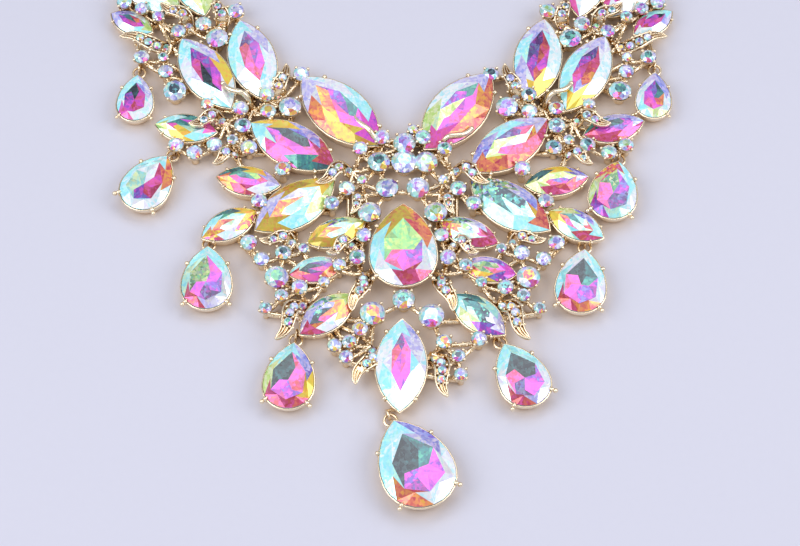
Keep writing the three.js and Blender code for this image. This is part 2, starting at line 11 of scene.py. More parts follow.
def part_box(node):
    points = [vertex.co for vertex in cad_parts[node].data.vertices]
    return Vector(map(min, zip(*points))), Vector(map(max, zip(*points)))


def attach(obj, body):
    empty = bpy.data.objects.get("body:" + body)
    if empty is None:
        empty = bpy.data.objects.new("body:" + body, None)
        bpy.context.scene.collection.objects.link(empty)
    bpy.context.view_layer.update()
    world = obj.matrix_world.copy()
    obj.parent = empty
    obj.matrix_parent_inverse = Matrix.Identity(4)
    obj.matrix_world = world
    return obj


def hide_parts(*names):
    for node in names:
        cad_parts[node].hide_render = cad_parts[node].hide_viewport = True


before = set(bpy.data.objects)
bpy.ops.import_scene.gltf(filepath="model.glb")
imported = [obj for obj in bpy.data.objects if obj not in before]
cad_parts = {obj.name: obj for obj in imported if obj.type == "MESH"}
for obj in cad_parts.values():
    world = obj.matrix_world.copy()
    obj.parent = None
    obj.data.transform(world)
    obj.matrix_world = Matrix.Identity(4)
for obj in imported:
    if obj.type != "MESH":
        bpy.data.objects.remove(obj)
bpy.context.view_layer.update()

bl_info = {
    "name": "Crystal Bib Necklace",
    "version": (1, 0, 0),
    "blender": (4, 5, 0),
    "location": "View3D > Sidebar > Necklace",
    "description": "Builds the stones, settings, leaves, chains and studio of a bib necklace",
    "category": "Add Mesh",
}

MM = 0.001

# Heights over the table and other sizes of the casting, in millimetres
SEAT_GAP = 0.06  # between a stone's edge and its bezel
BEZEL_WALL = 0.42
CUP_BACK_SHARE = 0.8
ROUND_GIRDLE = 5.4
RAISED_GIRDLE = 6.9
ROUND_CROWN_SHARE = 0.2
ROUND_TABLE_SHARE = 0.52
ROUND_STAR_SHARE = 0.82
ROUND_STAR_HEIGHT = 0.55
ROUND_GIRDLE_BREADTH = 0.2
ROUND_BACK_SHARE = 0.3
ROUND_DEPTH_SHARE = 0.35
ROUND_TILT = 5  # degrees, by which a small stone may sit askew
LEAF_HEIGHT = 5.6
RAISED_LEAF_HEIGHT = 7.4
LEAF_FOOT = 1.2
BAR_HEIGHT = 1.7
BRANCH_HEIGHT = 3.1
BRANCH_REACH = 9.5  # longest branch between two small settings
BRANCHES_EACH = 4
BAR_REACH = 18  # longest bar from a small setting to a long stone's cup
CORNERS = 8  # of a round stone's table
END_CUP_BACK = 1.9  # height of the lowest point of a stone at an arm's upper end, without its wall
END_GIRDLE = 0.3
NAVETTE_DEPTH_SHARE = 0.2
NAVETTE_CROWN_SHARE = 0.145

# The tables below are measured from a point on the table this far from the centre stone's middle
TABLES_ORIGIN = Vector((0.2, -25.4))
ARM_LEAN = 0.06

Round = namedtuple("Round", "x y across raised", defaults=(False,))
Stone = namedtuple("Stone", "x y length width turn")
Leaf = namedtuple("Leaf", "foot point width bow raised", defaults=(False,))

ARM_ROUNDS = [
    Round(44.2, 50.3, 4.7),
    Round(49.7, 41.2, 6.2),
    Round(75.6, 53.4, 4.2),
    Round(71, 35, 4.4),
    Round(64.4, 30.2, 4.2),
    Round(62, 23.8, 6.3),
    Round(30.1, 18.6, 6.2),
    Round(43.4, 12.6, 4.7),
    Round(26.5, 29.3, 4.4),
    Round(62, 6.4, 4.2),
    Round(57, 3.9, 4.4),
    Round(63.6, 71.6, 4.4),
    Round(61.2, 77.4, 6.2),
    Round(53.4, 46, 4.6),
    Round(60.5, 43.6, 4.2),
    Round(66, 47.6, 3.4, True),
    Round(70.6, 50.3, 3.8, True),
    Round(65, 34.9, 2.9),
    Round(36.4, 21.8, 4.3, True),
    Round(36.2, 17.2, 4.4),
    Round(43.8, 18.2, 4.4),
    Round(51.4, 6.5, 4.3),
    Round(46.4, 8, 3.1),
    Round(42, 5.6, 4.6),
    Round(53, 19.6, 3.5),
]
CENTRE_ROUNDS = [
    Round(6.5, 0.9, 6.2),
    Round(4.2, -7.3, 6.2),
    Round(15.2, -7.4, 4.5),
    Round(9, -14.9, 6.3),
    Round(41.6, -24.3, 4.5),
    Round(32.2, -27.4, 4.4),
    Round(38, -29.3, 4.2),
    Round(33.8, -34.9, 6.4),
    Round(5.7, 7.9, 4.3, True),
    Round(11.6, 4.4, 4, True),
    Round(11.1, -4.7, 2.7),
    Round(19.3, -12.8, 4.1, True),
    Round(10.5, -22, 4.1),
    Round(12.2, -28.8, 4.4),
    Round(17, -31.9, 3.6, True),
    Round(21.1, -36.3, 3.1),
    Round(32.8, -2, 4.4, True),
    Round(39.1, -11.3, 4.3),
    Round(26.7, -26, 2.9),
    Round(27.6, -37.9, 4.3),
    Round(32.4, -40.3, 3.6),
    Round(36.6, -44.2, 3.4),
]
MIDDLE_ROUNDS = [
    Round(0.5, 0.9, 7.2),
    Round(0.6, 6.9, 6.3),
    Round(0.3, -41.6, 6.1),
    Round(-8, -45.8, 6.9),
    Round(7.7, -46.6, 6.9),
    Round(-11.3, -50.4, 4.2),
    Round(11, -54.2, 4.2),
    Round(20.3, -53.4, 4.2),
    Round(2.9, 11.3, 2.9),
    Round(-14.2, -54.2, 3.8),
    Round(-18, -55.3, 3.8),
    Round(-15, -58.7, 3.8),
    Round(14.8, -58.4, 3.6),
    Round(15.4, -63.9, 3.6),
]
END_STONES = [
    Stone(56.1, 61.8, 27, 12.6, 76.5),
    Stone(68.9, 58.4, 25, 12, 47),
    Stone(73.7, 47.2, 13.2, 6.9, 31),
]
ARM_LEAVES = [
    Leaf((48.2, 14.6), (58, 12.2), 4, 1.2, True),
    Leaf((62.6, 40.3), (76.8, 41.8), 4.2, -1.5),
    Leaf((32.8, 22), (30.6, 32.4), 4.2, -0.8),
    Leaf((48.6, 46), (49.4, 55), 4, 0.8),
    Leaf((57.4, 45.4), (65, 51.8), 3.8, 1.2, True),
    Leaf((45.4, 4.4), (51.8, -0.6), 3.4, 0.8, True),
    Leaf((40.6, 18.6), (48.4, 25), 2.4, 1, True),
]
CENTRE_LEAVES = [
    Leaf((13.6, -1), (23.4, -6.6), 4, 1.4, True),
    Leaf((10.3, -8.3), (14, -15.2), 2.8, 0.8),
    Leaf((12.8, -24.4), (20.2, -28.2), 3.2, 1.4, True),
    Leaf((11, -32.8), (13.4, -44.9), 4.6, -1.2),
    Leaf((29.2, -23.6), (38.6, -23.2), 3.6, 1.2),
    Leaf((25.4, -42), (33.6, -54.2), 4.6, 1.6, True),
]
MIDDLE_LEAVES = [
    Leaf((-8.4, -54.6), (-12.4, -66.6), 4.4, 1.6),
    Leaf((7.6, -57), (11.8, -70.2), 4.4, 1.4),
    Leaf((-7, 4.6), (-14, 16), 2.4, -1, True),
    Leaf((9.6, 4.6), (19, 10.4), 2.4, 1.2, True),
]

# Each table of leaves: whether it leans with the arms, and whether it is mirrored
LEAF_GROUPS = [
    (ARM_LEAVES, True, True),
    (CENTRE_LEAVES, False, True),
    (MIDDLE_LEAVES, False, False),
]

# Hinge bars between the upper and the lower part of the bib: place of each end
HINGES = [
    ((14.8, -9.6), (14.8, -16)),
    ((-14.8, -9.6), (-14.8, -16)),
]
HINGE_HEIGHT = 3.4
HINGE_RADIUS = 0.55

# The loop behind the neck, as the frame's chains and clasp lie
LINK_COUNT = 8
LINK_WIRE = 1.4
LINK_WIDTH = 6.2
LINK_FUSE = 0.35
END_EYE = Vector((61, 81.6))
END_EYE_RADIUS = 2.3
END_EYE_WIRE = 1.2
END_EYE_STEM = 0.8  # radius of the stem down to the arm's last round
END_EYE_STEM_HEIGHT = 1.6
LAST_ROUND = ARM_ROUNDS[12]
CLASP_LENGTH = 13
CLASP_WIDTH = 7
CLASP_WIRE = 1.6
CLASP_PLAY = 1.26

WIRE_EASE = 0.02  # by which a round wire stays inside the frame's many-sided one
RING_RADIUS = 1.7
RING_WIRE = 0.8
EYE_RADIUS = 1.32
EYE_WIRE = 0.7
EYE_LEVEL = 1.67
EYE_STEPS = 20
EYE_TAIL_RADIUS = 0.7
EYE_TAIL_HEIGHT = 1.2
EYE_TAIL_LENGTH = 3.2
TIP_TO_EYE = 0.75

# The rainbow film over the foil, from its darkest colours round to yellow, as places from 0 to 1
FILM = [
    (0.00, "#2c3a4c"),
    (0.06, "#4f6a74"),
    (0.12, "#4a97a0"),
    (0.18, "#66c4ac"),
    (0.24, "#8ed98a"),
    (0.30, "#cdee84"),
    (0.35, "#f3ffc4"),
    (0.41, "#c4fbe6"),
    (0.47, "#96edfd"),
    (0.54, "#fbffff"),
    (0.61, "#d4ccff"),
    (0.67, "#94a6f8"),
    (0.73, "#8d55d2"),
    (0.80, "#f05fe6"),
    (0.86, "#f56cb4"),
    (0.91, "#cc4460"),
    (0.95, "#f48c6c"),
    (0.975, "#ffb458"),
    (1.00, "#f4da50"),
]
# Painted reflection: where on the film a round stone's crown facet lies, by the way that it faces, in degrees from +X.
# The coating's rainbow hues are its own, but which hue each facet shows stands for studio light thrown back
CROWN_FILM = [
    (0, 0.55),
    (30, 0.57),
    (55, 0.52),
    (85, 0.62),
    (120, 0.55),
    (150, 0.49),
    (200, 0.47),
    (240, 0.55),
    (256, 0.76),
    (275, 0.9),
    (294, 0.82),
    (308, 0.55),
    (360, 0.55),
]

# Painted reflection of a group of facets: its place on the film, how far splinters leave it, and brightness, which
# paints the group's highlight or shade
SLATE = (0.03, 0.2, 0.66)
TEAL = (0.12, 0.16, 0.85)
OLIVE = (0.3, 0.4, 0.6)
APPLE = (0.26, 0.12, 0.85)
LIME = (0.33, 0.14, 1.0)
MINT = (0.41, 0.16, 1.0)
CYAN = (0.47, 0.14, 1.25)
WHITE = (0.535, 0.12, 1.14)
LILAC = (0.6, 0.16, 1.05)
BLUE = (0.65, 0.2, 1.05)
INDIGO = (0.715, 0.3, 0.5)
VIOLET = (0.75, 0.22, 0.85)
MAGENTA = (0.795, 0.12, 0.98)
PINK = (0.85, 0.12, 0.98)
CRIMSON = (0.9, 0.12, 0.88)
SALMON = (0.94, 0.1, 0.95)
PEACH = (0.958, 0.1, 1.05)
STRAW = (1.04, 0.08, 1.05)
BRASS = (1.04, 0.14, 0.74)
HAZE = (0.07, 0.6, 1.5)
OPAL = (0.42, 1.0, 1.15)
EMBER = (0.95, 0.35, 1.05)

# Painted reflections of each long stone's facet groups, from its upper tip round to the left: six of the crown, six of
# the table, and for some a factor on the table's size
Cut = namedtuple("Cut", "crown table share", defaults=(1,))
CUTS = {
    "main_drop_stone": Cut(
        (CYAN, CYAN, SALMON, WHITE, WHITE, BLUE), (SLATE, SLATE, VIOLET, MAGENTA, MAGENTA, TEAL), 1.06
    ),
    "centre_pear_stone": Cut(
        (BRASS, CYAN, WHITE, CRIMSON, WHITE, PEACH), (APPLE, APPLE, PINK, MAGENTA, VIOLET, APPLE)
    ),
    "keel_navette_stone": Cut(
        (CYAN, WHITE, CYAN, WHITE, WHITE, LILAC), (INDIGO, CRIMSON, MAGENTA, MAGENTA, MAGENTA, PINK), 0.84
    ),
    "left_neckline_navette_stone": Cut(
        (LILAC, PEACH, BRASS, MAGENTA, CYAN, WHITE), (PEACH, SALMON, PINK, MAGENTA, TEAL, VIOLET)
    ),
    "right_neckline_navette_stone": Cut(
        (LILAC, WHITE, LIME, PINK, SALMON, SALMON), (TEAL, VIOLET, LIME, MAGENTA, PINK, MAGENTA)
    ),
    "left_shoulder_navette_stone": Cut(
        (CYAN, PINK, TEAL, CRIMSON, BLUE, STRAW), (VIOLET, PINK, MAGENTA, PINK, SLATE, SLATE)
    ),
    "right_shoulder_navette_stone": Cut(
        (LILAC, CYAN, BLUE, SALMON, SALMON, CRIMSON), (CRIMSON, INDIGO, LIME, LIME, PINK, WHITE)
    ),
    "left_middle_fan_navette_stone": Cut(
        (STRAW, BRASS, LILAC, BRASS, CYAN, LIME), (CYAN, LILAC, PEACH, PEACH, CYAN, MINT)
    ),
    "right_middle_fan_navette_stone": Cut(
        (OPAL, CYAN, CYAN, SALMON, BLUE, OPAL), (HAZE, TEAL, CYAN, CYAN, HAZE, HAZE)
    ),
    "left_inner_fan_navette_stone": Cut(
        (LIME, OPAL, STRAW, BRASS, BRASS, STRAW), (MINT, MINT, PEACH, PEACH, CYAN, MINT)
    ),
    "right_inner_fan_navette_stone": Cut(
        (EMBER, CYAN, CRIMSON, CRIMSON, LILAC, OPAL), (PEACH, MINT, MINT, PINK, LILAC, OPAL)
    ),
    "left_outer_fan_navette_stone": Cut(
        (STRAW, TEAL, CYAN, EMBER, WHITE, EMBER), (MINT, MINT, PEACH, PEACH, WHITE, MINT)
    ),
    "right_outer_fan_navette_stone": Cut(
        (STRAW, MINT, CRIMSON, CYAN, BLUE, LIME), (SALMON, PINK, MINT, CRIMSON, MINT, TEAL)
    ),
    "left_skirt_navette_stone": Cut(
        (LIME, OPAL, LILAC, CRIMSON, WHITE, PEACH), (PEACH, BLUE, HAZE, SLATE, PINK, PEACH)
    ),
    "right_skirt_navette_stone": Cut(
        (CYAN, LIME, VIOLET, LILAC, MINT, TEAL), (TEAL, MINT, HAZE, LILAC, HAZE, TEAL)
    ),
    "left_lower_fan_navette_stone": Cut(
        (LILAC, CYAN, CYAN, CRIMSON, PINK, PEACH), (VIOLET, INDIGO, SLATE, SLATE, INDIGO, PINK)
    ),
    "right_lower_fan_navette_stone": Cut(
        (EMBER, STRAW, VIOLET, MAGENTA, BLUE, LILAC), (OLIVE, OLIVE, CRIMSON, MAGENTA, OLIVE, OLIVE)
    ),
    "left_upper_fan_navette_stone": Cut(
        (PEACH, CRIMSON, WHITE, LILAC, STRAW, TEAL), (PINK, PINK, MAGENTA, CRIMSON, APPLE, TEAL)
    ),
    "right_upper_fan_navette_stone": Cut(
        (BLUE, STRAW, TEAL, LIME, CRIMSON, CRIMSON), (LIME, LIME, LIME, LIME, CRIMSON, VIOLET)
    ),
    "left_wing_navette_stone": Cut(
        (LIME, STRAW, CYAN, PINK, TEAL, CYAN), (PINK, STRAW, MINT, PINK, MAGENTA, TEAL)
    ),
    "right_wing_navette_stone": Cut(
        (BLUE, LILAC, TEAL, CRIMSON, CRIMSON, PINK), (VIOLET, SLATE, TEAL, MAGENTA, MAGENTA, VIOLET)
    ),
    "left_arm_outer_navette_stone": Cut(
        (CYAN, WHITE, CYAN, WHITE, STRAW, LILAC), (VIOLET, PINK, SLATE, MAGENTA, MAGENTA, VIOLET)
    ),
    "left_arm_inner_navette_stone": Cut(
        (CYAN, CYAN, WHITE, WHITE, WHITE, LILAC), (INDIGO, CRIMSON, PINK, CRIMSON, MAGENTA, VIOLET)
    ),
    "right_arm_inner_navette_stone": Cut(
        (LILAC, CYAN, LILAC, STRAW, WHITE, WHITE), (INDIGO, INDIGO, VIOLET, SALMON, MAGENTA, CRIMSON)
    ),
    "right_arm_outer_navette_stone": Cut(
        (LILAC, CYAN, CYAN, STRAW, WHITE, WHITE), (INDIGO, VIOLET, PINK, BLUE, SALMON, CRIMSON)
    ),
    "left_wing_drop_stone": Cut(
        (CYAN, CYAN, CYAN, WHITE, WHITE, PEACH), (WHITE, MINT, MINT, VIOLET, CRIMSON, PINK), 1.1
    ),
    "left_fan_drop_stone": Cut(
        (CYAN, MINT, CRIMSON, LILAC, WHITE, CYAN), (OLIVE, OLIVE, MAGENTA, INDIGO, VIOLET, MAGENTA), 1.12
    ),
    "left_skirt_drop_stone": Cut(
        (CYAN, LIME, CRIMSON, CRIMSON, STRAW, BLUE), (SLATE, SLATE, MAGENTA, VIOLET, CRIMSON, PINK), 1.12
    ),
    "right_skirt_drop_stone": Cut(
        (CYAN, WHITE, CRIMSON, LILAC, WHITE, CYAN), (SLATE, PINK, INDIGO, MAGENTA, VIOLET, SLATE), 1.12
    ),
    "right_fan_drop_stone": Cut(
        (WHITE, CYAN, CRIMSON, SALMON, WHITE, CYAN), (SLATE, PINK, MAGENTA, VIOLET, VIOLET, TEAL), 1.12
    ),
    "right_wing_drop_stone": Cut(
        (EMBER, LIME, VIOLET, MINT, WHITE, CYAN), (OLIVE, PINK, PINK, INDIGO, INDIGO, VIOLET), 1.1
    ),
}
PLAIN_CUTS = [
    Cut((CYAN, CYAN, PINK, WHITE, WHITE, LILAC), (SLATE, VIOLET, MAGENTA, CRIMSON, MAGENTA, PINK)),
    Cut((LILAC, WHITE, CYAN, LIME, WHITE, BLUE), (VIOLET, MAGENTA, PINK, MAGENTA, SALMON, TEAL)),
]

rad = math.radians


def srgb(code):
    """A hex colour as linear values with full alpha."""
    parts = [int(code[i : i + 2], 16) / 255 for i in (1, 3, 5)]
    return [c / 12.92 if c <= 0.04045 else ((c + 0.055) / 1.055) ** 2.4 for c in parts] + [1.0]


class NecklaceSizes(bpy.types.PropertyGroup):
    """Fine sizes of the casting"""

    prong_ball: bpy.props.FloatProperty(
        name="Prong ball",
        description="Diameter of the ball at a prong's end",
        default=0.0014,
        unit="LENGTH",
    )
    round_prong: bpy.props.FloatProperty(
        name="Small prong",
        description="Diameter of a prong of a round stone",
        default=0.0008,
        unit="LENGTH",
    )
    branch_wire: bpy.props.FloatProperty(
        name="Branch",
        description="Thickness of the branches between small stones",
        default=0.0013,
        unit="LENGTH",
    )
    milgrain: bpy.props.FloatProperty(
        name="Milgrain",
        description="Diameter of the beads along branches and leaves",
        default=0.0009,
        unit="LENGTH",
    )


class NecklaceColours(bpy.types.PropertyGroup):
    """Colours of the metal and the studio"""

    gold: bpy.props.FloatVectorProperty(
        name="Plating", description="Colour of the gold plating", default=srgb("#fae9cb"), size=4, subtype="COLOR"
    )
    # Painted shade: the darker, warmer colour that the plating is given in its hollows
    gold_painted_shade: bpy.props.FloatVectorProperty(
        name="Plating in hollows", description="Colour of the gold in hollows", default=srgb("#c4964f"), size=4,
        subtype="COLOR",
    )
    floor: bpy.props.FloatVectorProperty(
        name="Floor", description="Colour of the floor", default=srgb("#cccddb"), size=4, subtype="COLOR"
    )
    # Painted light: the warm, lighter colour painted on the floor close under the gold
    painted_warm_light: bpy.props.FloatVectorProperty(
        name="Glow", description="Colour of the floor close under the gold", default=srgb("#e6d4c2"), size=4,
        subtype="COLOR",
    )


# Shapes, in millimetres


class Shape:
    """Faces gathered for one mesh, each with its look: place on the film, glitter, brightness, colour. On stones the
    look paints each facet's reflection, highlight or shade.
    """

    def __init__(self):
        self.points = []
        self.faces = []
        self.looks = []

    def add(self, points, faces, looks=None):
        start = len(self.points)
        self.points.extend(points)
        self.faces.extend([tuple(start + i for i in face) for face in faces])
        self.looks.extend(looks or [(0.5, 0, 1, 1)] * len(faces))


def lathe_rings(shape, rings):
    """A closed body through rings with equal numbers of points, the first one lowest."""
    count = len(rings[0])
    faces = [tuple(reversed(range(count)))]
    for r in range(len(rings) - 1):
        for i in range(count):
            j = (i + 1) % count
            faces.append((r * count + i, r * count + j, (r + 1) * count + j, (r + 1) * count + i))
    faces.append(tuple(range((len(rings) - 1) * count, len(rings) * count)))
    shape.add([p for ring in rings for p in ring], faces)


def tube(shape, path, radii, sides=8, closed=False):
    """A round wire along a path. radii is one radius, or one for each point."""
    count = len(path)
    radii = radii if isinstance(radii, list) else [radii] * count
    points = []
    side = None
    for i, place in enumerate(path):
        before = path[i - 1] if i or closed else place
        after = path[(i + 1) % count] if i + 1 < count or closed else place
        along = (after - before).normalized()
        if side is None:
            side = along.orthogonal().normalized()
        side = (side - along * side.dot(along)).normalized()
        up = along.cross(side)
        for k in range(sides):
            angle = 2 * math.pi * k / sides
            points.append(place + (side * math.cos(angle) + up * math.sin(angle)) * radii[i])
    faces = []
    for i in range(count if closed else count - 1):
        a = i * sides
        b = ((i + 1) % count) * sides
        for k in range(sides):
            m = (k + 1) % sides
            faces.append((a + k, a + m, b + m, b + k))
    if not closed:
        faces.append(tuple(reversed(range(sides))))
        faces.append(tuple(range((count - 1) * sides, count * sides)))
    shape.add(points, faces)


def ball(shape, middle, radius, sides=10, steps=6):
    points = [middle + Vector((0, 0, -radius))]
    for s in range(1, steps):
        tilt = math.pi * s / steps
        for k in range(sides):
            angle = 2 * math.pi * k / sides
            level = Vector((math.sin(tilt) * math.cos(angle), math.sin(tilt) * math.sin(angle), -math.cos(tilt)))
            points.append(middle + level * radius)
    points.append(middle + Vector((0, 0, radius)))
    last = len(points) - 1
    faces = []
    for k in range(sides):
        m = (k + 1) % sides
        faces.append((0, 1 + m, 1 + k))
        faces.append((last, last - sides + k, last - sides + m))
        for s in range(steps - 2):
            a = 1 + s * sides
            faces.append((a + k, a + m, a + sides + m, a + sides + k))
    shape.add(points, faces)


# Outlines of long stones, from the tip at +X round to the left


def navette_outline(length, width, steps):
    a = length / 2
    b = width / 2
    radius = (a * a + b * b) / (2 * b)
    half = math.asin(min(1, a / radius))
    upper = []
    for i in range(steps):
        angle = half - 2 * half * i / steps
        upper.append(Vector((radius * math.sin(angle), radius * math.cos(angle) - radius + b)))
    return upper + [Vector((-p.x, -p.y)) for p in upper]


def pear_outline(length, width, steps):
    b = width / 2
    a = length - b
    radius = (a * a + b * b) / (2 * b)
    half = math.asin(min(1, a / radius))
    middle = b - length / 2
    flank = []
    for i in range(steps // 2):
        angle = half - half * i / (steps // 2)
        flank.append(Vector((middle + radius * math.sin(angle), radius * math.cos(angle) - radius + b)))
    end = []
    for i in range(steps + 1):
        angle = math.pi / 2 + math.pi * i / steps
        end.append(Vector((middle + b * math.cos(angle), b * math.sin(angle))))
    back = [Vector((p.x, -p.y)) for p in reversed(flank[1:])]
    return flank + end + back


OUTLINE_STEPS = 12


class Seat:
    """Where a long stone lies: its middle, the way that its tip looks, its size and heights."""

    def __init__(self, name, middle, turn, length, width, pear, low, high, table):
        self.name = name
        self.middle = middle
        self.turn = turn
        self.length = length
        self.width = width
        self.pear = pear
        self.low = low
        self.high = high
        self.table = table

    def outline(self, grow=0.0):
        make = pear_outline if self.pear else navette_outline
        return make(self.length + 2 * grow, self.width + 2 * grow, OUTLINE_STEPS)

    def put(self, p, z):
        """A point of the stone's own plane, placed at a height."""
        c = math.cos(self.turn)
        s = math.sin(self.turn)
        return Vector((self.middle.x + p.x * c - p.y * s, self.middle.y + p.x * s + p.y * c, z))

    def ring(self, grow, share, z):
        return [self.put(p * share, z) for p in self.outline(grow)]

    def edge(self, place, grow):
        """A point of the outline, with place from 0 to 1 round from the tip."""
        outline = self.outline(grow)
        at = (place % 1) * len(outline)
        i = int(at)
        return outline[i].lerp(outline[(i + 1) % len(outline)], at - i)


def read_seat(node):
    """Reads a stone of the frame: four levels of corners, of which the second is its outline."""
    corners = {tuple(round(c / MM, 3) for c in v.co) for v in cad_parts[node].data.vertices}
    levels = sorted({z for _, _, z in corners})
    outline = [Vector((x, y)) for x, y, z in sorted(corners) if z == levels[1]]
    middle = sum(outline, Vector((0, 0))) / len(outline)
    tip = max(outline, key=lambda p: (round((p - middle).length, 2), p.y))
    along = (tip - middle).normalized()
    across = Vector((-along.y, along.x))
    widest = max(outline, key=lambda p: (p - middle).dot(across))
    half_length = (tip - middle).length
    x = (widest - middle).dot(along)
    y = (widest - middle).dot(across)
    pear = "pear" in node or "drop" in node
    if pear:
        length = half_length - x + y
        middle = tip - along * length / 2
        width = 2 * y
    else:
        sink = (half_length**2 - x * x - y * y) / (2 * y)
        length = 2 * half_length
        width = 2 * (math.hypot(half_length, sink) - sink)
    turn = math.atan2(along.y, along.x)
    return Seat(node, middle, turn, length, width, pear, levels[1], levels[2], levels[3])


def on_film(table, angle):
    """The place on the film for a way to face, in degrees."""
    angle %= 360
    for (a, u), (b, v) in zip(table, table[1:]):
        if a <= angle <= b:
            return u + (v - u) * (angle - a) / (b - a)
    return table[0][1]


def crown_look(way, rng, glitter, swing, warmth):
    """The painted reflection of a round stone's facet that faces this way over the table: its colour and brightness by
    the way that it faces.
    """
    angle = math.degrees(math.atan2(way.y, way.x)) + swing
    place = on_film(CROWN_FILM, angle)
    if place > 0.7:
        place += warmth
    place += rng.uniform(-0.05, 0.05)
    return (min(1, max(0, place)), glitter, rng.uniform(0.85, 1.2), 0.95)


def near(group, rng, shift=0.015, dim=0.0):
    """A look that differs a little from its neighbours in the same group of facets."""
    place, glitter, bright = group
    place += rng.uniform(-shift, shift)
    return (min(1, max(0, place)), glitter, bright * (1 - rng.uniform(0, dim)) * rng.uniform(0.95, 1.05), 1.0)


def facing(points):
    """The way that a facet faces."""
    normal = Vector((0, 0, 0))
    for i, p in enumerate(points):
        normal += p.cross(points[(i + 1) % len(points)])
    return normal.normalized()


GIRDLE_LOOK = (0.5, 0.1, 1, 1)
BACK_LOOK = (0.97, 0.3, 0.7, 0.8)
TABLE_LENGTH_SHARE = 0.64
TABLE_WIDTH_SHARE = 0.5
PEAR_TABLE_SHARE = 0.65
PEAR_TABLE_SHIFT = 0.055
STAR_SHARE = 0.82
STAR_HEIGHT = 0.6
OUTLINE_STEP = 4  # outline corners between two corners of the table
KEEL_SHARE = 0.4  # of the table's half length, reached by the ridge that shows through it
HEART_SHARE = 0.12
BACK_SHARE = 0.35
BACK_DEPTH_SHARE = 0.16


def cut_stone(shape, seat, cut):
    """A long stone with star, kite and girdle facets round a table on which the cut of its back is painted as
    reflections.
    """
    rng = random.Random(seat.name)
    outline = seat.outline()
    count = len(outline)
    crown = seat.table - seat.high
    star_z = seat.high + crown * STAR_HEIGHT
    if seat.pear:
        long_share = wide_share = PEAR_TABLE_SHARE * cut.share
        shift = PEAR_TABLE_SHIFT * seat.length
    else:
        long_share = TABLE_LENGTH_SHARE
        wide_share = TABLE_WIDTH_SHARE * cut.share
        shift = 0
    rim = [Vector((p.x * long_share - shift, p.y * wide_share)) for p in outline[::OUTLINE_STEP]]
    corners = len(rim)
    tables = [seat.put(p, seat.table) for p in rim]
    girdle = [seat.put(p, seat.high) for p in outline]
    stars = []
    for k in range(corners):
        a = outline[k * OUTLINE_STEP]
        b = outline[(k + 1) * OUTLINE_STEP % count]
        stars.append(seat.put((a + b) / 2 * STAR_SHARE, star_z))

    def facet(points, look):
        shape.add(points, [tuple(range(len(points)))], [look])

    def split(points, group, shift, dim):
        a, b, c = points
        middle = b.lerp(c, rng.uniform(0.35, 0.65))
        facet([a, b, middle], near(group, rng, shift, dim))
        facet([a, middle, c], near(group, rng, shift, dim))

    for k in range(corners):
        after = (k + 1) % corners
        start = k * OUTLINE_STEP
        group = cut.crown[k]
        facet([tables[k], stars[k], tables[after]], near(group, rng, 0.06))
        facet([tables[k], stars[k - 1], girdle[start], stars[k]], near(group, rng))
        for j in range(OUTLINE_STEP):
            last = (start + j + 1) % count
            facet([stars[k], girdle[start + j], girdle[last]], near(group, rng, 0.025))
    # Painted reflections of the cut of the back, seen through the table: flat facets on the table, each coloured as
    # the light that a back facet throws up
    if seat.pear:
        hearts = [Vector((-HEART_SHARE * seat.length, 0))] * (2 * corners)
    else:
        reach = KEEL_SHARE * seat.length / 2 * long_share
        spots = []
        for k in range(corners):
            spots.append(rim[k])
            spots.append((rim[k] + rim[(k + 1) % corners]) / 2)
        hearts = [Vector((max(-reach, min(reach, p.x)), 0)) for p in spots]
    inner = []
    for k in range(corners):
        mid = (rim[k] + rim[(k + 1) % corners]) / 2
        inner.append(seat.put(hearts[2 * k + 1].lerp(mid, rng.uniform(0.45, 0.75)), seat.table))
    keel = [seat.put(hearts[2 * k], seat.table) for k in range(corners)]
    for k in range(corners):
        after = (k + 1) % corners
        group = cut.table[k]
        for flank in ((tables[k], inner[k - 1], keel[k]), (tables[k], keel[k], inner[k])):
            split(flank, group, 0.02, 0.15)
        split((inner[k], tables[after], tables[k]), group, 0.04, 0.4)
        if (keel[k] - keel[after]).length > 0.01:
            split((inner[k], keel[k], keel[after]), cut.table[after], 0.03, 0.4)
    # Girdle and back
    low = [seat.put(p, seat.low) for p in outline]
    back_z = seat.low - BACK_DEPTH_SHARE * seat.width
    back = [seat.put(p * BACK_SHARE, back_z) for p in outline]
    for i in range(count):
        j = (i + 1) % count
        shape.add([girdle[i], low[i], low[j], girdle[j]], [(0, 1, 2, 3)], [GIRDLE_LOOK])
        shape.add([low[i], back[i], back[j], low[j]], [(0, 1, 2, 3)], [BACK_LOOK])
    shape.add(back, [tuple(reversed(range(count)))], [BACK_LOOK])


# Painted reflection of what a round stone's table shows: place on the film and brightness, above 1 for a painted
# highlight
TABLE_DISCS = [
    (0.05, 1.5),
    (0.12, 1.2),
    (0.64, 0.95),
    (0.04, 1.7),
    (0.15, 1.0),
    (0.47, 1.0),
    (0.67, 0.9),
    (0.6, 0.85),
    (0.35, 0.85),
    (0.98, 0.95),
    (0.42, 0.95),
]
# How much nearer to yellow the warm facets of a round stone lie on the film, in their painted reflection
WEDGE_WARMTH = [0, 0, 0.06, 0.12, 0.17, -0.2]


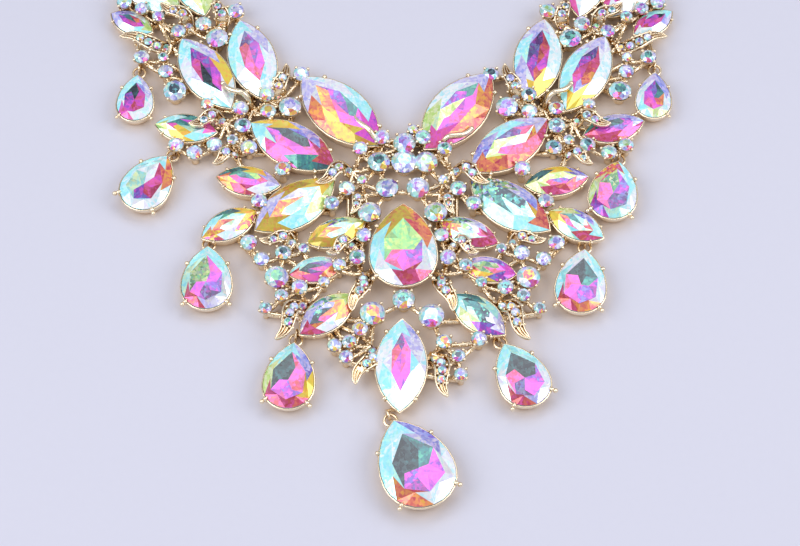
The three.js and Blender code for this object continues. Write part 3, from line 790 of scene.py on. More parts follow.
def cut_round(shape, middle, across, girdle_z, seed, glitter=0.3):
    """A small round brilliant: table, stars, kites and girdle facets."""
    rng = random.Random(seed)
    radius = across / 2
    crown = ROUND_CROWN_SHARE * across
    tilt = Matrix.Rotation(rad(rng.uniform(-ROUND_TILT, ROUND_TILT)), 4, "X")
    tilt = tilt @ Matrix.Rotation(rad(rng.uniform(-ROUND_TILT, ROUND_TILT)), 4, "Y")
    turn = rng.uniform(0, math.pi / 4)

    def at(share, corner, z):
        angle = turn + 2 * math.pi * corner / CORNERS
        spot = Vector((radius * share * math.cos(angle), radius * share * math.sin(angle), z))
        return tilt @ spot + Vector((middle.x, middle.y, girdle_z))

    table = [at(ROUND_TABLE_SHARE, k, crown) for k in range(CORNERS)]
    star = [at(ROUND_STAR_SHARE, k + 0.5, crown * ROUND_STAR_HEIGHT) for k in range(CORNERS)]
    girdle = [at(1, k / 2, 0) for k in range(2 * CORNERS)]
    low = [at(1, k / 2, -ROUND_GIRDLE_BREADTH) for k in range(2 * CORNERS)]
    back = [at(ROUND_BACK_SHARE, k / 2, -ROUND_DEPTH_SHARE * across) for k in range(2 * CORNERS)]
    # Painted reflection on the table: its colour, and shine as its painted brightness
    disc, shine = rng.choice(TABLE_DISCS)
    swing = rng.uniform(-45, 45)
    warmth = rng.choice(WEDGE_WARMTH)
    shape.add(table, [tuple(range(CORNERS))], [(disc, 0.35, shine, 0.9)])
    for k in range(CORNERS):
        after = (k + 1) % CORNERS
        for points in (
            [table[k], star[k], table[after]],
            [table[k], star[k - 1], girdle[2 * k], star[k]],
            [star[k], girdle[2 * k], girdle[2 * k + 1]],
            [star[k], girdle[2 * k + 1], girdle[(2 * k + 2) % (2 * CORNERS)]],
        ):
            way = facing(points)
            shape.add(points, [tuple(range(len(points)))], [crown_look(way, rng, glitter, swing, warmth)])
    count = 2 * CORNERS
    for i in range(count):
        j = (i + 1) % count
        shape.add([girdle[i], low[i], low[j], girdle[j]], [(0, 1, 2, 3)], [GIRDLE_LOOK])
        shape.add([low[i], back[i], back[j], low[j]], [(0, 1, 2, 3)], [BACK_LOOK])
    shape.add(back, [tuple(reversed(range(count)))], [BACK_LOOK])


# Places from the tables


def from_tables(x, y):
    return Vector((x, y)) - TABLES_ORIGIN


def lean(x, y):
    return x - ARM_LEAN * y, y


def both_sides(rounds, leaning):
    placed = []
    for item in rounds:
        for sign in (1, -1):
            x, y = sign * item.x, item.y
            if leaning:
                x, y = lean(x, y)
            placed.append(item._replace(x=x, y=y))
    return placed


def all_rounds():
    placed = both_sides(ARM_ROUNDS, True) + both_sides(CENTRE_ROUNDS, False) + MIDDLE_ROUNDS
    return [(from_tables(r.x, r.y), r.across, RAISED_GIRDLE if r.raised else ROUND_GIRDLE) for r in placed]


def end_seats():
    """The stones at the arms' upper ends."""
    seats = []
    for stone in END_STONES:
        for sign in (1, -1):
            x, y = lean(sign * stone.x, stone.y)
            turn = stone.turn if sign > 0 else 180 - stone.turn
            turn = rad(turn) + math.atan(ARM_LEAN)
            low = END_CUP_BACK + BEZEL_WALL + NAVETTE_DEPTH_SHARE * stone.width
            high = low + END_GIRDLE
            table = high + NAVETTE_CROWN_SHARE * stone.width
            name = f"{stone.x}_{sign}"
            middle = from_tables(x, y)
            seats.append(Seat(name, middle, turn, stone.length, stone.width, False, low, high, table))
    return seats


def all_leaves():
    placed = []
    for leaves, leaning, mirrored in LEAF_GROUPS:
        for leaf in leaves:
            for sign in (1, -1) if mirrored else (1,):
                ends = [(sign * x, y) for x, y in (leaf.foot, leaf.point)]
                if leaning:
                    ends = [lean(x, y) for x, y in ends]
                foot, point = [from_tables(x, y) for x, y in ends]
                placed.append(leaf._replace(foot=foot, point=point, bow=sign * leaf.bow))
    return placed


MAIN_NODES = sorted(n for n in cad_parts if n.endswith("_stone") and "drop" not in n)
DROP_NODES = sorted(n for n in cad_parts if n.endswith("_drop_stone"))


def main_seats():
    """Where all the long stones of the bib itself lie."""
    return [read_seat(node) for node in MAIN_NODES] + end_seats()


def cut_of(node, index):
    return CUTS.get(node, PLAIN_CUTS[index % len(PLAIN_CUTS)])


# Settings


def cup(shape, seat):
    """A bezel cup round a long stone, closed at the back."""
    rim = seat.low + 0.06
    out = SEAT_GAP + BEZEL_WALL
    rings = [
        seat.ring(out, CUP_BACK_SHARE, 0.02),
        seat.ring(out, CUP_BACK_SHARE + 0.03, 0.4),
        seat.ring(out, 0.97, rim - 1.5),
        seat.ring(out - 0.1, 1, rim - 1.0),
        seat.ring(out, 1, rim - 0.35),
        seat.ring(out, 1, rim - 0.12),
        seat.ring(out - 0.12, 1, rim),
        seat.ring(SEAT_GAP + 0.1, 1, rim),
        seat.ring(SEAT_GAP, 1, rim - 0.12),
        seat.ring(-0.1, 1, seat.low - 0.5),
        seat.ring(-0.6, 0.8, seat.low - 0.18 * seat.width),
    ]
    lathe_rings(shape, rings)


# Prongs: place on the outline from 0 to 1 round from the tip, and how many balls
NAVETTE_PRONGS = [(0.09, 1), (0.91, 1), (0.41, 1), (0.59, 1)]
PEAR_PRONGS = [(0.13, 1), (0.87, 1), (0.36, 2), (0.64, 2)]
FULL_PRONG_WIDTH = 13  # of a stone, from which its prongs have their full size
SMALLEST_PRONG = 0.62
PRONG_WIRE_SHARE = 0.26


def prongs(shape, seat, size):
    """Ball-ended prongs at a cup's rim, doubled at a pear's round end."""
    size *= min(1, max(SMALLEST_PRONG, seat.width / FULL_PRONG_WIDTH))
    wire = size * PRONG_WIRE_SHARE
    for place, balls in PEAR_PRONGS if seat.pear else NAVETTE_PRONGS:
        inner = seat.put(seat.edge(place, -0.15), seat.high + 0.2)
        outer = seat.put(seat.edge(place, SEAT_GAP + 0.4), seat.high - 0.1)
        low = seat.put(seat.edge(place, SEAT_GAP + 0.25), seat.low - 1.7)
        bend = outer.lerp(inner, 0.5) + Vector((0, 0, 0.15))
        tube(shape, [low, outer, bend, inner], [wire, wire, wire, wire * 0.6], 8)
        way = (outer - inner).normalized()
        way.z = 0
        for b in range(balls):
            spot = outer + way * (0.1 + 0.8 * b * size) - Vector((0, 0, 0.15 + 0.3 * b))
            ball(shape, spot, size / 2, 12, 8)


ROUND_CUP_SIDES = 16
ROUND_PRONGS = 4


def round_setting(shape, middle, across, girdle, prong, turn):
    """A tapered cup on a post, with four small prongs over the stone's edge."""
    radius = across / 2

    def ring(r, z):
        points = []
        for k in range(ROUND_CUP_SIDES):
            angle = 2 * math.pi * k / ROUND_CUP_SIDES
            points.append(Vector((middle.x + r * math.cos(angle), middle.y + r * math.sin(angle), z)))
        return points

    rings = [
        ring(radius * 0.5, 0.3),
        ring(radius * 0.42, 1.2),
        ring(radius * 0.5, girdle - 0.55 * across),
        ring(radius * 0.8, girdle - 0.36 * across),
        ring(radius + 0.06, girdle - 0.7),
        ring(radius + 0.14, girdle - 0.4),
        ring(radius + 0.08, girdle - 0.25),
        ring(radius - 0.1, girdle - 0.3),
        ring(radius * 0.5, girdle - 0.3 * across),
    ]
    lathe_rings(shape, rings)
    for k in range(ROUND_PRONGS):
        angle = turn + math.pi / 4 + math.pi / 2 * k
        way = Vector((math.cos(angle), math.sin(angle), 0))
        base = Vector((middle.x, middle.y, 0)) + way * (radius + 0.12)
        low = base - way * 0.3 * radius + Vector((0, 0, girdle - 0.42 * across))
        tip = base + Vector((0, 0, girdle + 0.12))
        side = base + Vector((0, 0, girdle - 0.5))
        tube(shape, [low, side, tip], [prong * 0.42, prong * 0.42, prong * 0.36], 6)
        ball(shape, tip + way * 0.08, prong * 0.6, 8, 6)


def eye(shape, place, way, end):
    """An upright eye and its tail, which reaches to a point of a cup."""
    middle = Vector((place.x, place.y, EYE_LEVEL))
    points = []
    for k in range(EYE_STEPS):
        angle = 2 * math.pi * k / EYE_STEPS
        points.append(middle + way * EYE_RADIUS * math.cos(angle) + Vector((0, 0, EYE_RADIUS * math.sin(angle))))
    tube(shape, points, EYE_WIRE / 2, 8, closed=True)
    tube(shape, [middle + way * EYE_RADIUS, end], [EYE_WIRE / 2, EYE_TAIL_RADIUS], 8)


def nearest_foot(place):
    """The point of the nearest main cup's foot."""
    feet = [p for seat in main_seats() for p in seat.ring(0, CUP_BACK_SHARE, EYE_TAIL_HEIGHT)]
    return min(feet, key=lambda p: (p - place).length)


def hanging(seat):
    """The way out from a drop's point, and where its own eye and the casting's eye lie."""
    way = Vector((math.cos(seat.turn), math.sin(seat.turn), 0))
    tip = seat.length / 2 + TIP_TO_EYE
    middle = Vector((seat.middle.x, seat.middle.y, 0))
    return way, middle + way * tip, middle + way * (tip + 2 * RING_RADIUS)


LEAF_ARC = 0.5  # share of a leaf's bow that is one bend
LEAF_FLICK = 0.72  # share of it that turns over at the tip
LEAF_STEPS = 16
LEAF_RAIL = 0.31
LEAF_OPEN = 0.68  # how far along a leaf its stones end and its open tip starts
LEAF_TIP = 0.42
HORN_WIDTH = 2.5  # leaves narrower than this are plain horns
HORN_WIRE = 0.95
HORN_TIP = 0.8
LEAF_RIB = 0.22
LEAF_RIB_PLACES = (0.34, -0.34)
LEAF_FLOOR_TOP = 0.55  # below the rails
LEAF_FLOOR_BACK = 1.1
GRAIN_PLACE = 0.62
FIRST_LEAF_STONE = 0.09
LARGEST_LEAF_STONE = 2.4
LEAF_STONE_SHARE = 0.78
LEAF_STONE_GAP = 0.12


def leaf_curve(leaf, t):
    """A place along a leaf's middle line, and the way to its left."""
    along = leaf.point - leaf.foot
    side = Vector((-along.y, along.x)).normalized()
    bend = leaf.bow * (LEAF_ARC * math.sin(math.pi * t) + LEAF_FLICK * math.sin(2 * math.pi * t))
    slope = leaf.bow * math.pi * (LEAF_ARC * math.cos(math.pi * t) + 2 * LEAF_FLICK * math.cos(2 * math.pi * t))
    top = RAISED_LEAF_HEIGHT if leaf.raised else LEAF_HEIGHT
    rise = math.sin(min(1, t / 0.45) * math.pi / 2)
    dip = 0.9 * max(0, t - 0.6)
    spot = leaf.foot + along * t + side * bend
    forward = (along + side * slope).normalized()
    height = LEAF_FOOT + (top - LEAF_FOOT) * rise - dip
    return Vector((spot.x, spot.y, height)), Vector((-forward.y, forward.x, 0))


def leaf_half(leaf, t):
    """Half of a leaf's width at a place along it."""
    swell = min(1, 0.66 + 1.6 * t) * (1 - max(0, t - 0.22) / 0.78) ** 0.5
    return 0.5 * leaf.width * max(0.06, swell)


def leaf_rail(shape, leaf, start, share, radius):
    """A wire along a leaf, at a share of its half width."""
    path = []
    radii = []
    for s in range(LEAF_STEPS + 1):
        t = start + (1 - start) * s / LEAF_STEPS
        spot, side = leaf_curve(leaf, t)
        path.append(spot + side * leaf_half(leaf, t) * share)
        radii.append(radius * (1 - 0.25 * t))
    tube(shape, path, radii, 8)
    return path


def leaf_frame(shape, leaf, grain):
    """A leaf's floor, its two raised edges, the ribs of its open tip and the grains round its stones.
    The narrowest ones are plain horns."""
    if leaf.width < HORN_WIDTH:
        path = leaf_rail(shape, leaf, 0, 0, HORN_WIRE)
        ball(shape, path[-1], HORN_TIP, 12, 8)
        return
    left = leaf_rail(shape, leaf, 0, 1, LEAF_RAIL)
    right = leaf_rail(shape, leaf, 0, -1, LEAF_RAIL)
    for share in LEAF_RIB_PLACES:
        leaf_rail(shape, leaf, LEAF_OPEN, share, LEAF_RIB)
    drop = Vector((0, 0, LEAF_FLOOR_TOP))
    deep = Vector((0, 0, LEAF_FLOOR_BACK))
    plate = []
    for a, b in zip(left, right):
        plate.append([a - drop, b - drop, b - deep, a - deep])
    lathe_rings(shape, plate)
    ball(shape, left[-1].lerp(right[-1], 0.5), LEAF_TIP, 10, 8)
    for _, _, _, t in pave_places(leaf):
        spot, side = leaf_curve(leaf, t)
        for sign in (1, -1):
            inside = side * sign * leaf_half(leaf, t) * GRAIN_PLACE
            ball(shape, spot + inside + Vector((0, 0, 0.1)), grain / 2, 8, 6)
        ball(shape, spot + side * (leaf_half(leaf, t) + 0.25) - Vector((0, 0, 0.2)), grain * 0.6, 8, 6)


def pave_places(leaf):
    """Middle, size and place along the leaf of each fine stone, and of the grains after it."""
    length = (leaf.point - leaf.foot).length
    end = 0 if leaf.width < HORN_WIDTH else LEAF_OPEN
    t = FIRST_LEAF_STONE
    found = []
    while t < end:
        size = min(LARGEST_LEAF_STONE, 2 * leaf_half(leaf, t) * LEAF_STONE_SHARE)
        spot, _ = leaf_curve(leaf, t)
        step = (size + LEAF_STONE_GAP) / length
        found.append((spot, size, t, t + step / 2))
        t += step
    return found


BRANCH_STEPS = 6
BRANCH_SAG = 0.9
BRANCH_SWELL = 0.12
BEAD_SPACING = 1.05
BEAD_SIDE = 0.34
BEAD_RISE = 0.3


def branch(shape, start, end, wire, grain, rng):
    """A beaded branch that sags a little between two settings."""
    path = []
    radii = []
    for i in range(BRANCH_STEPS + 1):
        t = i / BRANCH_STEPS
        spot = start.lerp(end, t)
        spot.z -= BRANCH_SAG * math.sin(math.pi * t)
        path.append(spot)
        radii.append(wire / 2 * (1 + BRANCH_SWELL * math.sin(i * 2.1)))
    tube(shape, path, radii, 8)
    way = (end - start).normalized()
    across = Vector((-way.y, way.x, 0))
    count = int((end - start).length / (grain * BEAD_SPACING))
    for i in range(1, count):
        t = i / count
        spot = start.lerp(end, t) + across * wire * BEAD_SIDE * (1 if i % 2 else -1)
        spot.z += wire * BEAD_RISE - BRANCH_SAG * math.sin(math.pi * t)
        ball(shape, spot, grain / 2 * rng.uniform(0.85, 1.15), 7, 5)


def oval_path(length, width, wire, steps=12):
    """The middle line of a long link's wire."""
    bend = (width - wire) / 2
    straight = (length - wire) / 2 - bend
    path = []
    for sign in (1, -1):
        for i in range(steps + 1):
            angle = math.pi * i / steps - sign * math.pi / 2
            path.append(Vector((sign * straight + bend * math.cos(angle), bend * math.sin(angle), 0)))
    return path


Loop = namedtuple("Loop", "middle radius level length half pitch eye_at clasp_at left_at")


def loop_sizes():
    """The half circle that the chains follow, and how the links share it."""
    right = from_tables(*lean(END_EYE.x, END_EYE.y))
    left = from_tables(*lean(-END_EYE.x, END_EYE.y))
    radius = (right.x - left.x) / 2
    middle = Vector(((right.x + left.x) / 2, right.y))
    level = ((CLASP_WIDTH - CLASP_WIRE) * math.sqrt(0.5) + CLASP_WIRE) / 2 + 0.2
    reach = END_EYE_RADIUS + CLASP_LENGTH / 2 - END_EYE_WIRE / 2
    hold = CLASP_LENGTH / 2 - CLASP_WIRE - LINK_WIRE / 2 - CLASP_PLAY
    overlap = 2 * LINK_WIRE - LINK_FUSE
    spans = 2 * (LINK_COUNT - 1)
    length = (math.pi * radius - reach - hold + 2 * LINK_WIRE + spans * overlap) / (spans + 2)
    half = (length - LINK_WIRE) / 2
    pitch = length - overlap
    eye_at = 2 * half + (LINK_COUNT - 1) * pitch
    clasp_at = eye_at + reach
    left_at = clasp_at + hold + half
    return Loop(middle, radius, level, length, half, pitch, eye_at, clasp_at, left_at)


def on_loop(distance, side):
    """How a link lies at a distance along the half circle, leaning to one side or the other."""
    loop = loop_sizes()
    angle = distance / loop.radius
    x = loop.middle.x + loop.radius * math.cos(angle)
    y = loop.middle.y + loop.radius * math.sin(angle)
    spot = Vector((x, y, loop.level))
    turn = Matrix.Rotation(angle + math.pi / 2, 4, "Z") @ Matrix.Rotation(side * math.pi / 4, 4, "X")
    return Matrix.Translation(spot) @ turn


def wire_loop(shape, path, matrix, wire, sides=12):
    tube(shape, [matrix @ p for p in path], wire / 2 - WIRE_EASE, sides, closed=True)


def ring_path(radius, steps=28):
    return [
        Vector((radius * math.cos(2 * math.pi * i / steps), radius * math.sin(2 * math.pi * i / steps), 0))
        for i in range(steps)
    ]


# Materials


def add_node(tree, kind, values=None, links=None, **settings):
    """A node with its settings, values on its sockets and links into them."""
    node = tree.nodes.new(kind)
    for key, value in settings.items():
        setattr(node, key, value)
    for key, value in (values or {}).items():
        node.inputs[key].default_value = value
    for key, (source, output) in (links or {}).items():
        tree.links.new(source.outputs[output], node.inputs[key])
    return node


def new_material(name):
    material = bpy.data.materials.new(name)
    material.use_nodes = True
    material.node_tree.nodes.clear()
    return material


def ramp(node, stops):
    """Sets a colour ramp's stops, each a place and a colour."""
    elements = node.color_ramp.elements
    while len(elements) > 1:
        elements.remove(elements[-1])
    elements[0].position = stops[0][0]
    elements[0].color = stops[0][1]
    for place, colour in stops[1:]:
        elements.new(place).color = colour


# Painted reflections: splinters of colour, some darkened, stand for light thrown back inside a stone
SHARD = 0.9  # mm, breadth of the splinters of colour inside a stone
GRAIN = 0.35  # mm, of the cast skin under the plating
HOLLOW = 1.6  # mm, how near another surface must be to shade the plating
# How far the painted pool of warm light spreads on the floor round the gold
PAINTED_LIGHT_REACH = 16  # mm, how far the gold's warm light spreads on the floor
PULP = 2  # mm, of the floor's mottle
# How far the painted splinter reflections move along the film, and how much painted shade darkens them
SPLINTER_SWING = 0.55  # how far along the film the splinters of a full glitter lie
SPLINTER_DIM = -0.9
SMOOTH_GOLD = 50  # degrees, the sharpest edge that is smoothed over


def crystal_material():
    """Machine-cut lead crystal, foil-backed and vacuum-coated with a rainbow film. Each facet's colour and brightness
    is a painted reflection of the coated foil, white where it stands for a highlight, broken into painted splinter
    reflections where many back facets meet."""
    name = "coated_cut_crystal"
    if name in bpy.data.materials:
        return bpy.data.materials[name]
    material = new_material(name)
    tree = material.node_tree
    place = add_node(tree, "ShaderNodeTexCoord")
    look = add_node(tree, "ShaderNodeAttribute", attribute_name="facet")
    parts = add_node(tree, "ShaderNodeSeparateColor", links={"Color": (look, "Color")})
    shards = add_node(
        tree,
        "ShaderNodeTexVoronoi",
        {"Scale": 1 / (SHARD * MM), "Randomness": 1.0},
        {"Vector": (place, "Object")},
        distance="MANHATTAN",
    )
    shard = add_node(tree, "ShaderNodeSeparateColor", links={"Color": (shards, "Color")})
    # Painted mottled reflections: each splinter moves the facet's colour along the film by its glitter
    swing = add_node(
        tree, "ShaderNodeMath", {1: 0.5}, {0: (shard, "Red")}, operation="SUBTRACT"
    )
    reach = add_node(
        tree, "ShaderNodeMath", None, {0: (swing, "Value"), 1: (parts, "Green")}, operation="MULTIPLY"
    )
    spot = add_node(
        tree, "ShaderNodeMath", {1: SPLINTER_SWING}, {0: (reach, "Value"), 2: (parts, "Red")}, operation="MULTIPLY_ADD"
    )
    film = add_node(tree, "ShaderNodeValToRGB", None, {"Fac": (spot, "Value")})
    ramp(film, [(at, srgb(code)) for at, code in FILM])
    # Painted highlight and shade: the look's brightness, darkened in the splinters, sets the value of the film colour
    glint = add_node(
        tree, "ShaderNodeMath", None, {0: (shard, "Green"), 1: (parts, "Green")}, operation="MULTIPLY"
    )
    dim = add_node(
        tree, "ShaderNodeMath", {1: SPLINTER_DIM}, {0: (glint, "Value"), 2: (parts, "Blue")}, operation="MULTIPLY_ADD"
    )
    bright = add_node(
        tree,
        "ShaderNodeHueSaturation",
        None,
        {"Color": (film, "Color"), "Value": (dim, "Value"), "Saturation": (look, "Alpha")},
    )
    haze = add_node(
        tree, "ShaderNodeTexNoise", {"Scale": 1 / (4 * MM), "Detail": 2.0}, {"Vector": (place, "Object")}
    )
    gloss = add_node(
        tree,
        "ShaderNodeMapRange",
        {"To Min": 0.06, "To Max": 0.16},
        {"Value": (haze, "Fac")},
    )
    surface = add_node(
        tree,
        "ShaderNodeBsdfPrincipled",
        {"Metallic": 0.3, "IOR": 1.55, "Coat Weight": 0.6, "Coat Roughness": 0.03, "Coat IOR": 1.55},
        {"Base Color": (bright, "Color"), "Roughness": (gloss, "Result")},
    )
    add_node(tree, "ShaderNodeOutputMaterial", None, {"Surface": (surface, "BSDF")})
    return material


def gold_material(context):
    """Zinc alloy, centrifugally cast, tumbled and plated with pale gold, with the faint skin of the casting.
    Painted shade makes it darker and warmer in its hollows and leaves its open edges bright."""
    name = "pale_gold_plated_casting"
    if name in bpy.data.materials:
        return bpy.data.materials[name]
    colours = context.scene.necklace_colours
    material = new_material(name)
    tree = material.node_tree
    place = add_node(tree, "ShaderNodeTexCoord")
    skin = add_node(
        tree,
        "ShaderNodeTexNoise",
        {"Scale": 1 / (GRAIN * MM), "Detail": 3.0},
        {"Vector": (place, "Object")},
    )
    cloud = add_node(
        tree, "ShaderNodeTexNoise", {"Scale": 1 / (3.5 * MM), "Detail": 3.0}, {"Vector": (place, "Object")}
    )
    # Painted shade: occlusion, broken up by a noise cloud, darkens and warms the plating in hollows and leaves open
    # edges lighter
    reach = add_node(tree, "ShaderNodeAmbientOcclusion", {"Distance": HOLLOW * MM}, samples=6)
    painted_hollow_shade = add_node(
        tree,
        "ShaderNodeMath",
        None,
        {0: (reach, "AO"), 1: (cloud, "Fac"), 2: (reach, "AO")},
        operation="MULTIPLY_ADD",
    )
    shown = add_node(
        tree, "ShaderNodeMapRange", {"From Min": 0.25, "From Max": 1.35}, {"Value": (painted_hollow_shade, "Value")}
    )
    tone = add_node(
        tree,
        "ShaderNodeMix",
        {6: list(colours.gold_painted_shade), 7: list(colours.gold)},
        {0: (shown, "Result")},
        data_type="RGBA",
    )
    gloss = add_node(tree, "ShaderNodeMapRange", {"To Min": 0.14, "To Max": 0.3}, {"Value": (skin, "Fac")})
    bump = add_node(
        tree, "ShaderNodeBump", {"Strength": 0.25, "Distance": 0.04 * MM}, {"Height": (skin, "Fac")}
    )
    surface = add_node(
        tree,
        "ShaderNodeBsdfPrincipled",
        {"Metallic": 1.0},
        {"Roughness": (gloss, "Result"), "Normal": (bump, "Normal")},
    )
    tree.links.new(tone.outputs[2], surface.inputs["Base Color"])
    add_node(tree, "ShaderNodeOutputMaterial", None, {"Surface": (surface, "BSDF")})
    return material


def floor_material(context):
    """A matt paper sweep: its pulp gives a faint, even mottle. Close under the gold a painted pool of warm light,
    standing for the light that the gold throws down, is mixed into its colour by occlusion."""
    material = new_material("matt_paper_sweep")
    tree = material.node_tree
    place = add_node(tree, "ShaderNodeTexCoord")
    pulp = add_node(tree, "ShaderNodeTexNoise", {"Scale": 1 / (PULP * MM)}, {"Vector": (place, "Object")})
    colour = context.scene.necklace_colours.floor
    tone = add_node(
        tree,
        "ShaderNodeMix",
        {6: [c * 0.98 for c in colour[:3]] + [1], 7: list(colour)},
        {0: (pulp, "Fac")},
        data_type="RGBA",
    )
    # Painted light: occlusion under the gold mixes a warm, lighter colour into the floor
    reach = add_node(tree, "ShaderNodeAmbientOcclusion", {"Distance": PAINTED_LIGHT_REACH * MM}, samples=6)
    near_gold = add_node(
        tree, "ShaderNodeMapRange", {"From Min": 0.2, "From Max": 0.8}, {"Value": (reach, "AO")}
    )
    painted_warm_light = add_node(
        tree,
        "ShaderNodeMix",
        {6: list(context.scene.necklace_colours.painted_warm_light)},
        {0: (near_gold, "Result")},
        data_type="RGBA",
    )
    tree.links.new(tone.outputs[2], painted_warm_light.inputs[7])
    surface = add_node(tree, "ShaderNodeBsdfPrincipled", {"Roughness": 0.7})
    tree.links.new(painted_warm_light.outputs[2], surface.inputs["Base Color"])
    add_node(tree, "ShaderNodeOutputMaterial", None, {"Surface": (surface, "BSDF")})
    return material


def make_piece(context, name, shape, material, nodes, smooth=None):
    """Makes one piece that stands for nodes of the frame. smooth is the sharpest angle that is smoothed."""
    mesh = bpy.data.meshes.new(name)
    mesh.from_pydata([p * MM for p in shape.points], [], shape.faces)
    facet = mesh.attributes.new("facet", "FLOAT_COLOR", "CORNER")
    colours = []
    for face, look in zip(shape.faces, shape.looks):
        colours.extend(look * len(face))
    facet.data.foreach_set("color", colours)
    if smooth:
        mesh.shade_smooth()
        mesh.set_sharp_from_angle(angle=rad(smooth))
    mesh.materials.append(material)
    piece = bpy.data.objects.new(name, mesh)
    context.scene.collection.objects.link(piece)
    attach(piece, "root")
    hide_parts(*nodes)


def gold_piece(context, name, shape, nodes):
    make_piece(context, name, shape, gold_material(context), nodes, SMOOTH_GOLD)


def crystal_piece(context, name, shape, nodes):
    make_piece(context, name, shape, crystal_material(), nodes)


class NECKLACE_OT_main_stones(bpy.types.Operator):
    """Cuts the main stones of the bib"""

    bl_idname = "necklace.main_stones"
    bl_label = "Main stones"

    def execute(self, context):
        for index, node in enumerate(MAIN_NODES):
            shape = Shape()
            cut_stone(shape, read_seat(node), cut_of(node, index))
            crystal_piece(context, f"{node}_cut", shape, [node])
        shape = Shape()
        for index, seat in enumerate(end_seats()):
            cut_stone(shape, seat, cut_of(seat.name, index))
        crystal_piece(context, "arm_end_stones", shape, ["bib_casting"])
        return {"FINISHED"}


class NECKLACE_OT_drop_stones(bpy.types.Operator):
    """Cuts the pear stones of the drops"""

    bl_idname = "necklace.drop_stones"
    bl_label = "Drop stones"

    def execute(self, context):
        for index, node in enumerate(DROP_NODES):
            shape = Shape()
            cut_stone(shape, read_seat(node), cut_of(node, index))
            crystal_piece(context, f"{node}_cut", shape, [node])
        return {"FINISHED"}


class NECKLACE_OT_round_stones(bpy.types.Operator):
    """Cuts the small round stones"""

    bl_idname = "necklace.round_stones"
    bl_label = "Round stones"

    def execute(self, context):
        shape = Shape()
        for index, (middle, across, girdle) in enumerate(all_rounds()):
            cut_round(shape, middle, across, girdle, f"round {index}")
        crystal_piece(context, "round_stones", shape, ["bib_casting"])
        return {"FINISHED"}


class NECKLACE_OT_cups(bpy.types.Operator):
    """Makes the cups and prongs of the main stones"""

    bl_idname = "necklace.cups"
    bl_label = "Main cups"

    def execute(self, context):
        size = context.scene.necklace_sizes.prong_ball / MM
        shape = Shape()
        for seat in main_seats():
            cup(shape, seat)
            prongs(shape, seat, size)
        gold_piece(context, "main_cups", shape, ["bib_casting"])
        return {"FINISHED"}


class NECKLACE_OT_round_settings(bpy.types.Operator):
    """Makes the pronged settings of the round stones"""

    bl_idname = "necklace.round_settings"
    bl_label = "Round settings"

    def execute(self, context):
        prong = context.scene.necklace_sizes.round_prong / MM
        shape = Shape()
        rng = random.Random("round settings")
        for middle, across, girdle in all_rounds():
            round_setting(shape, middle, across, girdle, prong, rng.uniform(-0.3, 0.3))
        gold_piece(context, "round_settings", shape, ["bib_casting"])
        return {"FINISHED"}


class NECKLACE_OT_branches(bpy.types.Operator):
    """Makes the beaded branches and back bars that join the settings"""

    bl_idname = "necklace.branches"
    bl_label = "Branches"

    def execute(self, context):
        sizes = context.scene.necklace_sizes
        wire = sizes.branch_wire / MM
        grain = sizes.milgrain / MM
        rng = random.Random("branches")
        shape = Shape()
        spots = [middle for middle, _, _ in all_rounds()] + [leaf.foot for leaf in all_leaves()]
        joined = set()
        for i, here in enumerate(spots):
            others = sorted((k for k in range(len(spots)) if k != i), key=lambda k: (spots[k] - here).length)
            for k in others[:BRANCHES_EACH]:
                gap = (spots[k] - here).length
                if gap > BRANCH_REACH or (min(i, k), max(i, k)) in joined:
                    continue
                joined.add((min(i, k), max(i, k)))
                start = Vector((here.x, here.y, BRANCH_HEIGHT))
                end = Vector((spots[k].x, spots[k].y, BRANCH_HEIGHT))
                branch(shape, start, end, wire, grain, rng)
        seats = main_seats()
        for here in spots:
            seat = min(seats, key=lambda s: (s.middle - here).length - 0.3 * s.length)
            start = Vector((here.x, here.y, BAR_HEIGHT))
            end = Vector((seat.middle.x, seat.middle.y, BAR_HEIGHT))
            if (end - start).length < BAR_REACH:
                branch(shape, start, end, wire * 1.2, grain, rng)
        for start, end in HINGES:
            ends = [from_tables(*start), from_tables(*end)]
            tube(shape, [Vector((p.x, p.y, HINGE_HEIGHT)) for p in ends], HINGE_RADIUS, 8)
        gold_piece(context, "beaded_branches", shape, ["bib_casting"])
        return {"FINISHED"}


class NECKLACE_OT_leaves(bpy.types.Operator):
    """Makes the curled leaves"""

    bl_idname = "necklace.leaves"
    bl_label = "Leaves"

    def execute(self, context):
        grain = context.scene.necklace_sizes.milgrain / MM
        shape = Shape()
        for leaf in all_leaves():
            leaf_frame(shape, leaf, grain)
        gold_piece(context, "leaves", shape, ["bib_casting"])
        return {"FINISHED"}


class NECKLACE_OT_leaf_stones(bpy.types.Operator):
    """Sets the fine stones of the leaves"""

    bl_idname = "necklace.leaf_stones"
    bl_label = "Leaf stones"

    def execute(self, context):
        shape = Shape()
        for index, leaf in enumerate(all_leaves()):
            for spot, size, t, _ in pave_places(leaf):
                cut_round(shape, spot, size, spot.z + 0.05, f"leaf {index} {t:.3f}", 0.35)
        crystal_piece(context, "leaf_stones", shape, ["bib_casting"])
        return {"FINISHED"}


class NECKLACE_OT_drop_settings(bpy.types.Operator):
    """Makes the drops' cups and the eyes that they hang by"""

    bl_idname = "necklace.drop_settings"
    bl_label = "Drop settings"

    def execute(self, context):
        size = context.scene.necklace_sizes.prong_ball / MM
        lugs = Shape()
        for node in DROP_NODES:
            seat = read_seat(node)
            way, drop_eye, cast_eye = hanging(seat)
            shape = Shape()
            cup(shape, seat)
            prongs(shape, seat, size)
            tail = drop_eye - way * EYE_TAIL_LENGTH + Vector((0, 0, EYE_TAIL_HEIGHT))
            eye(shape, drop_eye, -way, tail)
            setting = node.replace("_stone", "_setting")
            gold_piece(context, f"{setting}_cup", shape, [setting])
            eye(lugs, cast_eye, way, nearest_foot(cast_eye))
        gold_piece(context, "hanging_eyes", lugs, ["bib_casting"])
        return {"FINISHED"}


